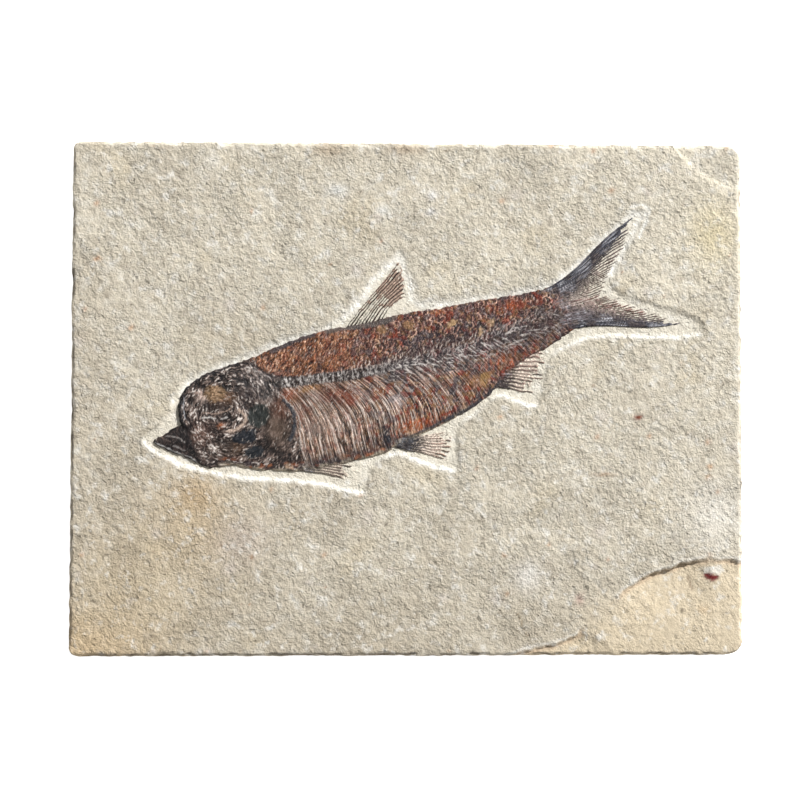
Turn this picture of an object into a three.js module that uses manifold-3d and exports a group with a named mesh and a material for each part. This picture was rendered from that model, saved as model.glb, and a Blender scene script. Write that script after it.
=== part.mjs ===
// A fossil fish on a slab of pale laminated limestone, lying face up.
// Millimetres, +Z up out of the fossil face. The origin is the centre of the slab's underside,
// +X runs towards the fish's tail and +Y towards its back.
import * as THREE from "three";
import { mergeVertices } from "three/addons/utils/BufferGeometryUtils.js";
import Module from "manifold-3d";

// The slab: a hand-sawn rectangle, so its four corners are not quite square.
const THICKNESS = 11;
const CORNERS = [
  { at: [-75.5, 58.6], radius: 2 },
  { at: [-76.6, -58.6], radius: 4 },
  { at: [76.6, -58.2], radius: 3.5 },
  { at: [76.1, 57.6], radius: 4 },
];
const OUTLINE_POINTS = 96;
const EDGE_WEAR = 0.5;
// Levels of the sawn side, as shares of the thickness, with the wear at its lower and upper edges.
const SIDE_LEVELS = [
  { share: 0, wear: EDGE_WEAR },
  { share: 0.1, wear: 0 },
  { share: 0.5, wear: 0 },
  { share: 0.92, wear: 0 },
  { share: 1, wear: EDGE_WEAR },
];
// The sawn side wanders inwards in two waves, each shifted from level to level.
const SAW_WAVES = [
  { depth: 0.11, pitch: 0.9, shift: 1.7 },
  { depth: 0.07, pitch: 2.3, shift: 3.1 },
];
// Shell-shaped chips along the upper edge: how many, and the range of their half sizes.
const EDGE_CHIPS = 26;
const CHIP_LENGTH = [1.5, 4];
const CHIP_WIDTH = [0.4, 0.9];
const CHIP_DEPTH = [0.8, 2.4];

// The hollow that was scraped round the fish, as seen from above.
const HOLLOW_DEPTH = 0.5;
const HOLLOW_WALL = 0.6;
const HOLLOW_POINTS = 130;
const HOLLOW = [
  [-59.4, -8.8], [-57.6, -11.4], [-51.5, -14.7], [-41, -17.3], [-24, -18.6], [-14, -20.4], [-9.6, -21.3],
  [-8.3, -18.2], [-7, -14.8], [-1.9, -12.3], [4, -14.5], [11.4, -16.2], [11.9, -11.5], [12.3, -6], [17, -2.7],
  [20.8, 0.7], [25, -0.3], [29.4, -1.7], [31, 0.9], [32, 6.4], [34.4, 10.8], [42, 14], [53, 14.2],
  [64.6, 14.2], [67.6, 15.9], [64.6, 18.8], [55.5, 21.8], [47.8, 24.5], [47.4, 27], [50, 31.5], [54, 38.8],
  [55.6, 42.6], [51.2, 43.2], [44, 37.4], [34.8, 28.8], [28, 26], [14.6, 23.9], [4, 22.6], [2.4, 26.5],
  [-0.4, 33], [-3, 33.3], [-8, 28], [-13.6, 20.8], [-19, 17.2], [-27, 14.7], [-35, 11.5], [-42.2, 8.8],
  [-49.4, 5.2], [-52.6, 1], [-53.4, -2.6], [-55.6, -5.4],
];

// Thin sheets of stone that split off two corners and left a ledge.
const LEDGES = [
  {
    depth: 0.7,
    wall: 0.4,
    edge: [
      [27, -60], [38.7, -53.8], [44.2, -48], [48, -44.5],
      [53.2, -41.1], [64.6, -37], [70, -36.4], [80, -37.4],
    ],
    beyond: [[80, -62], [27, -62]],
  },
  {
    depth: 0.4,
    wall: 0.8,
    edge: [[80, 46.4], [75, 47.6], [70, 49.4], [66.5, 51.4], [63.4, 54.4], [59.5, 60]],
    beyond: [[59.5, 62], [80, 62]],
  },
];

// The fish lies in its own frame: X along its length from the tip of the lower jaw, Y towards its back,
// Z up from the floor of the hollow.
const FISH_AT = [-57.3, -9.5];
const FISH_TILT = THREE.MathUtils.degToRad(14);
const RIM = 0.3;
const BACK = [
  [7, 3.6], [7.3, 5.9], [8.3, 8], [9.9, 9.7], [12.8, 11.1], [16.8, 12.2], [23.1, 13], [27.1, 12.9],
  [32.6, 13.6], [39.2, 14.6], [45.6, 14.8], [52, 14.3], [61.3, 14.2], [70.5, 13.3], [79.7, 12.9],
  [88.9, 12], [95.8, 11.8], [100.5, 10],
];
const BELLY = [
  [7, 2.4], [7.6, 0.6], [8.2, -2.4], [9.2, -7.4], [11.6, -9], [16.7, -10], [22.4, -12.4], [30.7, -14.7],
  [37.6, -15.2], [44.2, -15.2], [50.6, -14.9], [54.4, -13.8], [62.2, -12.2], [69.1, -10.9], [75.2, -9.1],
  [78.7, -7], [83.1, -3.8], [87.7, -2], [91.4, -1.3], [96.6, 0.7], [100.5, 2],
];
// Height of the flank along the fish.
const CREST = [[7, 0.75], [18, 1.1], [32, 1.2], [55, 1.15], [75, 0.95], [90, 0.7], [100.5, 0.45]];
const BODY_STEPS = 34;
const FLANK_STEPS = 7;
const CURVE_STEPS = 120;

const JAW_TOP = [[0, 0], [2.8, 0.9], [4.3, 1.5], [7.3, 1.9], [12, 0.5]];
const JAW_BOTTOM = [[0, 0], [1.2, -1.7], [3.5, -3.7], [5.9, -5.2], [8.8, -7.7], [12, -8.8]];
const JAW_HEIGHT = 0.75;
const JAW_STEPS = 7;
const JAW_TIP = 0.6;

// The gill cover's rear rim, from the nape down to the throat, and the eye socket.
const GILL_RIM = [[28.4, 5.4], [31, 1.4], [32, -2], [31.4, -5.4], [30, -8], [27.6, -10.6]];
const GILL_RIDGE = { width: 1.5, height: 0.3, steps: 8 };
const EYE = { at: [16.4, 6.6], length: 6.2, height: 5, rim: 0.9, rise: 0.22, steps: 16, open: 2 };

// The backbone, the ribs under it and the spines behind them.
const BACKBONE = [
  [28.5, 6.2], [35.7, 5.1], [44.8, 4], [54, 3.4], [63.3, 3.4], [72.7, 3.4], [82.3, 4.3], [91.8, 5.2],
  [97, 6.5],
];
const VERTEBRAE = 28;
const VERTEBRA = { fill: 0.78, width: 2, taper: 0.45, height: 0.22 };
const RIBS = { count: 14, from: 32.5, to: 51, sweep: 5, drop: 0.9, width: 0.55, height: 0.2 };
const SPINES = { count: 13, from: 56, to: 85, sweep: 6.5, drop: 0.8, width: 0.5, height: 0.16 };
const BONE_STEPS = 3;
const BONE_BEND = 1.3;

// Each fin is a thin web between two edges, crossed by raised rays from the one edge to the other.
const RAY = { width: 0.55, height: 0.3, reach: 0.98 };
const FINS = [
  {
    root: [[47.5, 13.2], [52, 13.2], [58, 13]],
    tips: [[63.7, 25.8], [64, 22.5], [63.1, 17.4]],
    rays: 8,
  },
  {
    root: [[52.6, -12.6], [53.4, -13.6], [53.6, -15]],
    tips: [[64, -15.3], [63.8, -17.6], [61.4, -20.2]],
    rays: 6,
  },
  {
    root: [[30.6, -12.4], [30.4, -13.2], [30.2, -14]],
    tips: [[42.3, -17.6], [42, -18.8], [41.2, -19.9]],
    rays: 4,
  },
  {
    root: [[76.6, -5.4], [81, -3.2], [88, -0.8]],
    tips: [[84.6, -9.9], [88.2, -7], [91, -2.3]],
    rays: 8,
  },
  {
    root: [[94, 11.6], [95.5, 9.6], [97, 7.4]],
    tips: [[117.7, 22.6], [113.5, 16.6], [106.2, 7.6]],
    rays: 9,
  },
  {
    root: [[97, 7.4], [97, 5], [97, 1.2]],
    tips: [[106.2, 7.6], [114, 2.6], [123, -3.1]],
    rays: 9,
  },
];
const WEB_STEPS = 6;

// Room left above the slab by the shapes that are cut out of it.
const CUT_OVERSHOOT = 1;
const MERGE_DISTANCE = 1e-4;

const wasm = await Module();
wasm.setup();

// Shapes are gathered as loose triangles of [x, y, z] corners, and merged into a closed solid.
function solidOf(triangles) {
  const soup = new THREE.BufferGeometry();
  soup.setAttribute("position", new THREE.Float32BufferAttribute(triangles.flat(2), 3));
  return solidOfGeometry(soup);
}

function solidOfGeometry(geometry) {
  const bare = geometry.clone();
  bare.deleteAttribute("normal");
  bare.deleteAttribute("uv");
  const merged = mergeVertices(bare, MERGE_DISTANCE);
  return new wasm.Manifold(
    new wasm.Mesh({
      numProp: 3,
      vertProperties: merged.attributes.position.array,
      triVerts: new Uint32Array(merged.index.array),
    }),
  );
}

function geometryOf(solid) {
  const { vertProperties, triVerts } = solid.getMesh();
  const geometry = new THREE.BufferGeometry();
  geometry.setAttribute("position", new THREE.BufferAttribute(vertProperties, 3));
  geometry.setIndex(new THREE.BufferAttribute(triVerts, 1));
  const faceted = geometry.toNonIndexed();
  faceted.computeVertexNormals();
  return faceted;
}

const joined = (solids) => solids.reduce((whole, solid) => whole.add(solid));

const quad = (a, b, c, d) => [[a, b, c], [a, c, d]];

// Points along a smooth open or closed curve through hand-placed points.
function smooth(points, steps) {
  return new THREE.SplineCurve(points.map(([x, y]) => new THREE.Vector2(x, y)))
    .getPoints(steps)
    .map((p) => [p.x, p.y]);
}

function smoothLoop(points, steps) {
  const loop = points.map(([x, y]) => new THREE.Vector3(x, y, 0));
  return new THREE.CatmullRomCurve3(loop, true, "centripetal")
    .getSpacedPoints(steps)
    .slice(0, steps)
    .map((p) => [p.x, p.y]);
}

// The height of a left-to-right polyline at x.
function heightAt(line, x) {
  const after = line.findIndex((p) => p[0] >= x);
  if (after === 0) return line[0][1];
  if (after < 0) return line[line.length - 1][1];
  const [x0, y0] = line[after - 1];
  const [x1, y1] = line[after];
  return y0 + ((y1 - y0) * (x - x0)) / (x1 - x0);
}

// A loop moved sideways, outwards if the distance is positive. The loop runs anticlockwise.
function offset(loop, distance) {
  const n = loop.length;
  return loop.map(([x, y], i) => {
    const [x0, y0] = loop[(i + n - 1) % n];
    const [x1, y1] = loop[(i + 1) % n];
    const length = Math.hypot(x1 - x0, y1 - y0);
    const move = typeof distance === "function" ? distance(i) : distance;
    return [x + ((y1 - y0) / length) * move, y - ((x1 - x0) / length) * move];
  });
}

function capOf(loop, z, up) {
  const flat = loop.map(([x, y]) => new THREE.Vector2(x, y));
  return THREE.ShapeUtils.triangulateShape(flat, []).map((corners) => {
    const triangle = corners.map((i) => [...loop[i], z]);
    return up ? triangle : triangle.reverse();
  });
}

// A solid with flat ends, through anticlockwise loops of equal length at rising heights.
function stacked(levels) {
  const triangles = capOf(levels[0].loop, levels[0].z, false);
  levels.slice(1).forEach((above, k) => {
    const below = levels[k];
    below.loop.forEach((p, i) => {
      const j = (i + 1) % below.loop.length;
      const [a, b] = [[...p, below.z], [...below.loop[j], below.z]];
      const [c, d] = [[...above.loop[j], above.z], [...above.loop[i], above.z]];
      triangles.push(...quad(a, b, c, d));
    });
  });
  const top = levels[levels.length - 1];
  return solidOf([...triangles, ...capOf(top.loop, top.z, true)]);
}

// A solid on the plane z = 0 whose top is a grid of points, in rows of equal length.
function plateau(rows) {
  const last = rows.length - 1;
  const end = rows[0].length - 1;
  const triangles = [];
  for (let i = 0; i < last; i++)
    for (let j = 0; j < end; j++)
      triangles.push(...quad(rows[i][j], rows[i + 1][j], rows[i + 1][j + 1], rows[i][j + 1]));
  const rim = [
    ...rows.map((row) => row[0]),
    ...rows[last].slice(1),
    ...rows.slice(0, last).reverse().map((row) => row[end]),
    ...rows[0].slice(1, end).reverse(),
  ];
  rim.forEach((p, i) => {
    const next = rim[(i + 1) % rim.length];
    const [foot, nextFoot] = [[p[0], p[1], 0], [next[0], next[1], 0]];
    triangles.push(...quad(foot, nextFoot, next, p));
  });
  return solidOf([...triangles, ...capOf(rim.map(([x, y]) => [x, y]), 0, false)]);
}

// A bar with a gabled top along a line, which stands on z = 0 and rises above the ground by a height.
function gabled(line, width, height, ground) {
  const last = line.length - 1;
  const sections = line.map(([x, y], i) => {
    const [x0, y0] = line[Math.max(i - 1, 0)];
    const [x1, y1] = line[Math.min(i + 1, last)];
    const half = width / 2 / Math.hypot(x1 - x0, y1 - y0);
    const left = [x + (y0 - y1) * half, y + (x1 - x0) * half];
    const right = [x - (y0 - y1) * half, y - (x1 - x0) * half];
    const z = ground(x, y);
    return [[...left, 0], [...right, 0], [...right, z], [x, y, z + height], [...left, z]];
  });
  const triangles = [];
  for (let i = 0; i < last; i++) {
    const [near, far] = [sections[i], sections[i + 1]];
    near.forEach((p, k) => {
      const m = (k + 1) % near.length;
      triangles.push(...quad(p, far[k], far[m], near[m]));
    });
  }
  const fan = (s) => [[s[0], s[1], s[2]], [s[0], s[2], s[3]], [s[0], s[3], s[4]]];
  return solidOf([...triangles, ...fan(sections[0]), ...fan(sections[last].reverse())]);
}

// Even but unrepeating values from 0 to 1, one series for each stride.
const scattered = (i, stride) => (i * stride) % 1;
const STRIDES = { place: 0.618034, length: 0.754878, width: 0.569840, depth: 0.819173 };

// The slab's outline seen from above, anticlockwise, with its corners rounded.
function slabOutline() {
  const path = new THREE.Path();
  CORNERS.forEach(({ at, radius }, i) => {
    const corner = new THREE.Vector2(...at);
    const before = new THREE.Vector2(...CORNERS[(i + 3) % 4].at).sub(corner).setLength(radius).add(corner);
    const after = new THREE.Vector2(...CORNERS[(i + 1) % 4].at).sub(corner).setLength(radius).add(corner);
    if (i === 0) path.moveTo(before.x, before.y);
    else path.lineTo(before.x, before.y);
    path.quadraticCurveTo(corner.x, corner.y, after.x, after.y);
  });
  path.closePath();
  return path.getSpacedPoints(OUTLINE_POINTS).slice(0, OUTLINE_POINTS).map((p) => [p.x, p.y]);
}

// The outline at one level of the sawn side.
function sawn(outline, level, wear) {
  const wave = ({ depth, pitch, shift }, i) => depth * (1 + Math.sin(i * pitch + level * shift));
  return offset(outline, (i) => -SAW_WAVES.reduce((inset, saw) => inset + wave(saw, i), wear));
}

// A shell-shaped chip out of the upper edge, as an ellipsoid to take away.
function edgeChip(outline, index) {
  const along = Math.floor(scattered(index + 1, STRIDES.place) * outline.length);
  const [x, y] = outline[along];
  const [nextX, nextY] = outline[(along + 1) % outline.length];
  const chip = new THREE.IcosahedronGeometry(1, 1);
  chip.scale(
    THREE.MathUtils.lerp(...CHIP_LENGTH, scattered(index, STRIDES.length)),
    THREE.MathUtils.lerp(...CHIP_WIDTH, scattered(index, STRIDES.width)),
    THREE.MathUtils.lerp(...CHIP_DEPTH, scattered(index, STRIDES.depth)),
  );
  chip.rotateZ(Math.atan2(nextY - y, nextX - x));
  chip.translate(x, y, THICKNESS);
  return solidOfGeometry(chip);
}

function hollow() {
  const middle = smoothLoop(HOLLOW, HOLLOW_POINTS);
  return stacked([
    { loop: offset(middle, -HOLLOW_WALL / 2), z: THICKNESS - HOLLOW_DEPTH },
    { loop: offset(middle, HOLLOW_WALL / 2), z: THICKNESS },
    { loop: offset(middle, HOLLOW_WALL / 2), z: THICKNESS + CUT_OVERSHOOT },
  ]);
}

function ledge({ depth, wall, edge, beyond }) {
  const brink = smooth(edge, 3 * edge.length);
  const inner = [...brink, ...beyond].reverse();
  const loop = THREE.ShapeUtils.area(inner.map(([x, y]) => ({ x, y }))) > 0 ? inner : inner.reverse();
  return stacked([
    { loop: offset(loop, -wall / 2), z: THICKNESS - depth },
    { loop: offset(loop, wall / 2), z: THICKNESS },
    { loop: offset(loop, wall / 2), z: THICKNESS + CUT_OVERSHOOT },
  ]);
}

function limestoneSlab() {
  const outline = slabOutline();
  const block = stacked(
    SIDE_LEVELS.map(({ share, wear }, level) => ({ loop: sawn(outline, level, wear), z: share * THICKNESS })),
  );
  const chips = Array.from({ length: EDGE_CHIPS }, (_, i) => edgeChip(outline, i));
  return [hollow(), ...LEDGES.map(ledge), ...chips].reduce((slab, cut) => slab.subtract(cut), block);
}

const back = smooth(BACK, CURVE_STEPS);
const belly = smooth(BELLY, CURVE_STEPS);
const backbone = smooth(BACKBONE, CURVE_STEPS);

// The top of the flank: a low dome from the belly to the back.
function flankHeight(x, y) {
  const [low, high] = [heightAt(belly, x), heightAt(back, x)];
  const share = THREE.MathUtils.clamp((y - low) / (high - low), 0, 1);
  return RIM + (heightAt(CREST, x) - RIM) * Math.sqrt(4 * share * (1 - share));
}

function body() {
  const [start, end] = [BACK[0][0], BACK[BACK.length - 1][0]];
  const rows = Array.from({ length: BODY_STEPS + 1 }, (_, i) => {
    const x = THREE.MathUtils.lerp(start, end, i / BODY_STEPS);
    const [low, high] = [heightAt(belly, x), heightAt(back, x)];
    return Array.from({ length: FLANK_STEPS + 1 }, (_, j) => {
      const y = (low + high) / 2 - ((high - low) / 2) * Math.cos((Math.PI * j) / FLANK_STEPS);
      return [x, y, flankHeight(x, y)];
    });
  });
  return plateau(rows);
}

function lowerJaw() {
  const top = smooth(JAW_TOP, CURVE_STEPS);
  const bottom = smooth(JAW_BOTTOM, CURVE_STEPS);
  const rows = Array.from({ length: JAW_STEPS + 1 }, (_, i) => {
    const x = THREE.MathUtils.lerp(JAW_TIP, JAW_TOP[JAW_TOP.length - 1][0], i / JAW_STEPS);
    const [low, high] = [heightAt(bottom, x), heightAt(top, x)];
    return [low, (low + high) / 2, high].map((y, j) => [x, y, j === 1 ? JAW_HEIGHT : RIM]);
  });
  return plateau(rows);
}

function gillRidge() {
  return gabled(smooth(GILL_RIM, GILL_RIDGE.steps), GILL_RIDGE.width, GILL_RIDGE.height, flankHeight);
}

function eyeSocket() {
  const ring = new THREE.EllipseCurve(...EYE.at, EYE.length / 2, EYE.height / 2)
    .getPoints(EYE.steps)
    .map((p) => [p.x, p.y]);
  return gabled(ring.slice(0, -EYE.open), EYE.rim, EYE.rise, flankHeight);
}

function vertebrae() {
  const [start, end] = [BACKBONE[0][0], BACKBONE[BACKBONE.length - 1][0]];
  const pitch = (end - start) / VERTEBRAE;
  return Array.from({ length: VERTEBRAE }, (_, i) => {
    const x = start + (i + 0.5) * pitch;
    const y = heightAt(backbone, x);
    const half = (VERTEBRA.fill * pitch) / 2;
    const taper = 1 - (VERTEBRA.taper * i) / VERTEBRAE;
    const disc = [[x - half, y], [x, y], [x + half, y]];
    return gabled(disc, VERTEBRA.width * taper, VERTEBRA.height, flankHeight);
  });
}

// Bones that sweep back from the backbone, bending down towards the belly.
function bones({ count, from, to, sweep, drop, width, height }) {
  return Array.from({ length: count }, (_, i) => {
    const x = from + ((to - from) * i) / (count - 1);
    const top = heightAt(backbone, x) - VERTEBRA.width / 2;
    const fall = drop * (top - heightAt(belly, x + sweep));
    const line = Array.from({ length: BONE_STEPS + 1 }, (_, k) => {
      const t = k / BONE_STEPS;
      return [x + sweep * Math.sin((t * Math.PI) / 2), top - fall * t ** BONE_BEND];
    });
    return gabled(line, width, height, flankHeight);
  });
}

const between = (a, b, t) => [a[0] + (b[0] - a[0]) * t, a[1] + (b[1] - a[1]) * t];

function fin({ root, tips, rays }) {
  const roots = smooth(root, rays - 1);
  const ends = smooth(tips, rays - 1);
  const rows = roots.map((foot, i) =>
    Array.from({ length: WEB_STEPS + 1 }, (_, k) => [...between(foot, ends[i], k / WEB_STEPS), RIM]),
  );
  const turn = (ends[0][0] - roots[0][0]) * (roots[rays - 1][1] - roots[0][1]);
  const swing = (ends[0][1] - roots[0][1]) * (roots[rays - 1][0] - roots[0][0]);
  const web = plateau(turn > swing ? rows.map((row) => [...row].reverse()) : rows);
  const bars = roots.map((foot, i) => {
    const line = [foot, between(foot, ends[i], RAY.reach)];
    return gabled(line, RAY.width, RAY.height, () => RIM);
  });
  return [web, ...bars];
}

function fossilFish() {
  return joined([
    body(),
    lowerJaw(),
    gillRidge(),
    eyeSocket(),
    ...vertebrae(),
    ...bones(RIBS),
    ...bones(SPINES),
    ...FINS.flatMap(fin),
  ]);
}

function named(name, solid, material) {
  const mesh = new THREE.Mesh(geometryOf(solid), new THREE.MeshStandardMaterial(material));
  mesh.name = name;
  return mesh;
}

const part = new THREE.Group();
part.add(named("limestone_slab", limestoneSlab(), { color: 0xcfc5b2, roughness: 0.9, metalness: 0 }));

const fish = named("fossil_fish", fossilFish(), { color: 0x6b5043, roughness: 0.55, metalness: 0 });
fish.position.set(...FISH_AT, THICKNESS - HOLLOW_DEPTH);
fish.rotation.z = FISH_TILT;
part.add(fish);

export default part;
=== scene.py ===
"""A fossil fish on a slab of pale limestone, lying face up and seen from straight above."""
import math
from itertools import product
from types import SimpleNamespace

import bpy
import numpy as np
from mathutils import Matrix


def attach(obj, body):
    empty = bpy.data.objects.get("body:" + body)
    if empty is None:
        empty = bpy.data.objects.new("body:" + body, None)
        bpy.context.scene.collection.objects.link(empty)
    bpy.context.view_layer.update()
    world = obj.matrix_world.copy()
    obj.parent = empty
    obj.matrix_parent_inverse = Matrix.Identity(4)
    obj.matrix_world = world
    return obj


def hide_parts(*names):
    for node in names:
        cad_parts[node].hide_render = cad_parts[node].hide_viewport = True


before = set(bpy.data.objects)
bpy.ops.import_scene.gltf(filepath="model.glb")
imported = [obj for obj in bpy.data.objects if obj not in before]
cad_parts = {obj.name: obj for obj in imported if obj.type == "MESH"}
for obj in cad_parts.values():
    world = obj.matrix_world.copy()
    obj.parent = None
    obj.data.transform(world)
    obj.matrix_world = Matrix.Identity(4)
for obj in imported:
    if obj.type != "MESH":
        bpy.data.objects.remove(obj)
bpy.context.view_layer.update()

# Sizes are in millimetres in the part's frame until the meshes are made.
MM = 0.001

# The slab, as it was sawn
THICKNESS = 11.0
HALF_PLAN = (76.6, 58.6)
CORNERS = {
    "top_left": (-75.5, 58.6),
    "bottom_left": (-76.6, -58.6),
    "bottom_right": (76.6, -58.2),
    "top_right": (76.1, 57.6),
}
CORNER_RADII = {"top_left": 2.0, "bottom_left": 2.4, "bottom_right": 3.5, "top_right": 4.0}
SIDE_ROWS = 8
SIDE_INSET = 0.12
FOOT_INSET = 0.4
PIT_DEPTH = 0.35
# Grid lines stand closer together along the edges, at these distances from them.
EDGE_LINES = np.array([0, 0.2, 0.4, 0.6, 0.8, 1.0, 1.3])
EDGE_FADE = 1.2
SLAB_CELLS = (314, 238)

# Shell-shaped chips along the upper edge. Half length, half width and depth each have a least value, a span
# above it and a share of a turn that spreads them from chip to chip.
EDGE_CHIPS = 26
CHIP_START = 2
CHIP_TURN = 0.618034
CHIP_SIZES = [(1.5, 2.5, 0.754878), (0.4, 0.5, 0.56984), (0.8, 1.6, 0.819173)]
OUTLINE_POINTS = 96

# The hollow scraped round the fish, with how softly its wall fades out at each point
HOLLOW_DEPTH = 0.5
HOLLOW_WALL = 0.6
FADED_WALL = 1.9
HOLLOW_STEPS = 260
HOLLOW = [
    (-59.4, -8.8, 0), (-57.6, -11.4, 0), (-51.5, -14.7, 0), (-41, -17.3, 0), (-24, -18.6, 0),
    (-14, -20.4, 0), (-9.6, -21.3, 0), (-8.3, -18.2, 0.1), (-7, -14.8, 0.1), (-1.9, -12.3, 0),
    (4, -14.5, 0), (11.4, -16.2, 0), (11.9, -11.5, 0.1), (12.3, -6, 0.1), (17, -2.7, 0), (20.8, 0.7, 0),
    (25, -0.3, 0), (29.4, -1.7, 0), (31, 0.9, 0.2), (32, 6.4, 0.1), (34.4, 10.8, 0), (42, 14, 0),
    (53, 14.2, 0), (64.6, 14.2, 0), (67.6, 15.9, 0.2), (64.6, 18.8, 0.1), (55.5, 21.8, 0.1),
    (47.8, 24.5, 0.1), (47.4, 27, 0.3), (50, 31.5, 1), (54, 38.8, 1), (55.6, 42.6, 1), (51.2, 43.2, 1),
    (44, 37.4, 1), (34.8, 28.8, 1), (28, 26, 1), (14.6, 23.9, 0.7), (4, 22.6, 0.5), (2.4, 26.5, 0.5),
    (-0.4, 33, 0.5), (-3, 33.3, 0.9), (-8, 28, 1), (-13.6, 20.8, 1), (-19, 17.2, 1), (-27, 14.7, 1),
    (-35, 11.5, 1), (-42.2, 8.8, 0.8), (-49.4, 5.2, 0.5), (-52.6, 1, 0.3), (-53.4, -2.6, 0.2),
    (-55.6, -5.4, 0),
]

# The brinks of the two corners where a sheet of stone split off, with how deep the step is at each point
LEDGE_REACH = 70.0
LEDGE_WANDER = 0.35
LOWER_WALL = 0.35
UPPER_WALL = 0.9
LOWER_LEDGE = [
    (20, -60, 0.3), (25.5, -57.6, 0.5), (30, -56.5, 0.8), (34.5, -55.5, 0.9), (38.7, -53.8, 0.8),
    (40.5, -51.8, 0.05), (44.2, -48, 0), (47, -45.6, 0.05), (53.2, -41.1, 1.1), (58.8, -38.8, 1.4),
    (64.6, -37, 1.2), (68, -36.5, 0.6), (70, -36.4, 0.4), (75, -36.8, 0.8), (80, -37.4, 0.6),
]
UPPER_LEDGE = [
    (80, 46.4, 0.4), (75, 47.6, 0.4), (70, 49.4, 0.4), (66.5, 51.4, 0.4), (63.4, 54.4, 0.4),
    (59.5, 60, 0.4),
]

# The fish's own frame: x along its length from the tip of the lower jaw, y towards its back
FISH_AT = (-57.3, -9.5)
FISH_TILT = math.radians(14)
FISH_FLOOR = THICKNESS - HOLLOW_DEPTH
FISH_CELL = 0.168
FISH_BOX = ((-0.8, -21.2), (124.0, 27.2))
# Heights over the hollow's floor: points outside the fish lie sunk, and its body rises from a rim.
SUNK = -0.4
SHOWN_ABOVE = SUNK + 0.05
RIM = 0.3
BODY_STEPS = 90
JAW_STEPS = 60
BACK = [
    (7, 3.6), (7.3, 5.9), (8.3, 8), (9.9, 9.7), (12.8, 11.1), (16.8, 12.2), (23.1, 12.6), (27.1, 13),
    (32.6, 13.9), (39.2, 14.8), (45.6, 14.9), (52, 14.3), (61.3, 14.3), (70.5, 13.5), (79.7, 13),
    (88.9, 12.1), (95.8, 11.8), (100.5, 10),
]
BELLY = [
    (7, 2.4), (7.6, 0.6), (8.2, -2.4), (9.2, -7.4), (11.6, -9), (16.7, -10), (22.4, -12.4), (30.7, -14.7),
    (37.6, -15.2), (44.2, -15.4), (50.6, -15.4), (54.4, -14), (62.2, -12.8), (69.1, -11.2), (75.2, -9.2),
    (78.7, -7), (83.1, -3.8), (87.7, -2), (91.4, -1.3), (96.6, 0.7), (100.5, 2),
]
CREST = [(7, 0.75), (18, 1.1), (32, 1.2), (55, 1.15), (75, 0.95), (90, 0.7), (100.5, 0.3)]
JAW = [
    (0, 0), (2.8, 0.9), (4.3, 1.5), (7.3, 1.9), (12, 0.5), (12, -8.8), (8.8, -7.7), (5.9, -5.2),
    (3.5, -3.7), (1.2, -1.7),
]
BACKBONE = [
    (28.5, 6.2), (35.7, 5.1), (44.8, 4), (54, 3.4), (63.3, 3.4), (72.7, 3.4), (82.3, 4.3), (91.8, 5.2),
    (97, 6.5),
]
# The edge between skull and flank, as (y, x)
NAPE = [(-12, 32), (-4, 32.4), (3, 30.8), (6.6, 31.5), (8, 29.8), (9.7, 27.4), (12.1, 26.4)]

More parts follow.
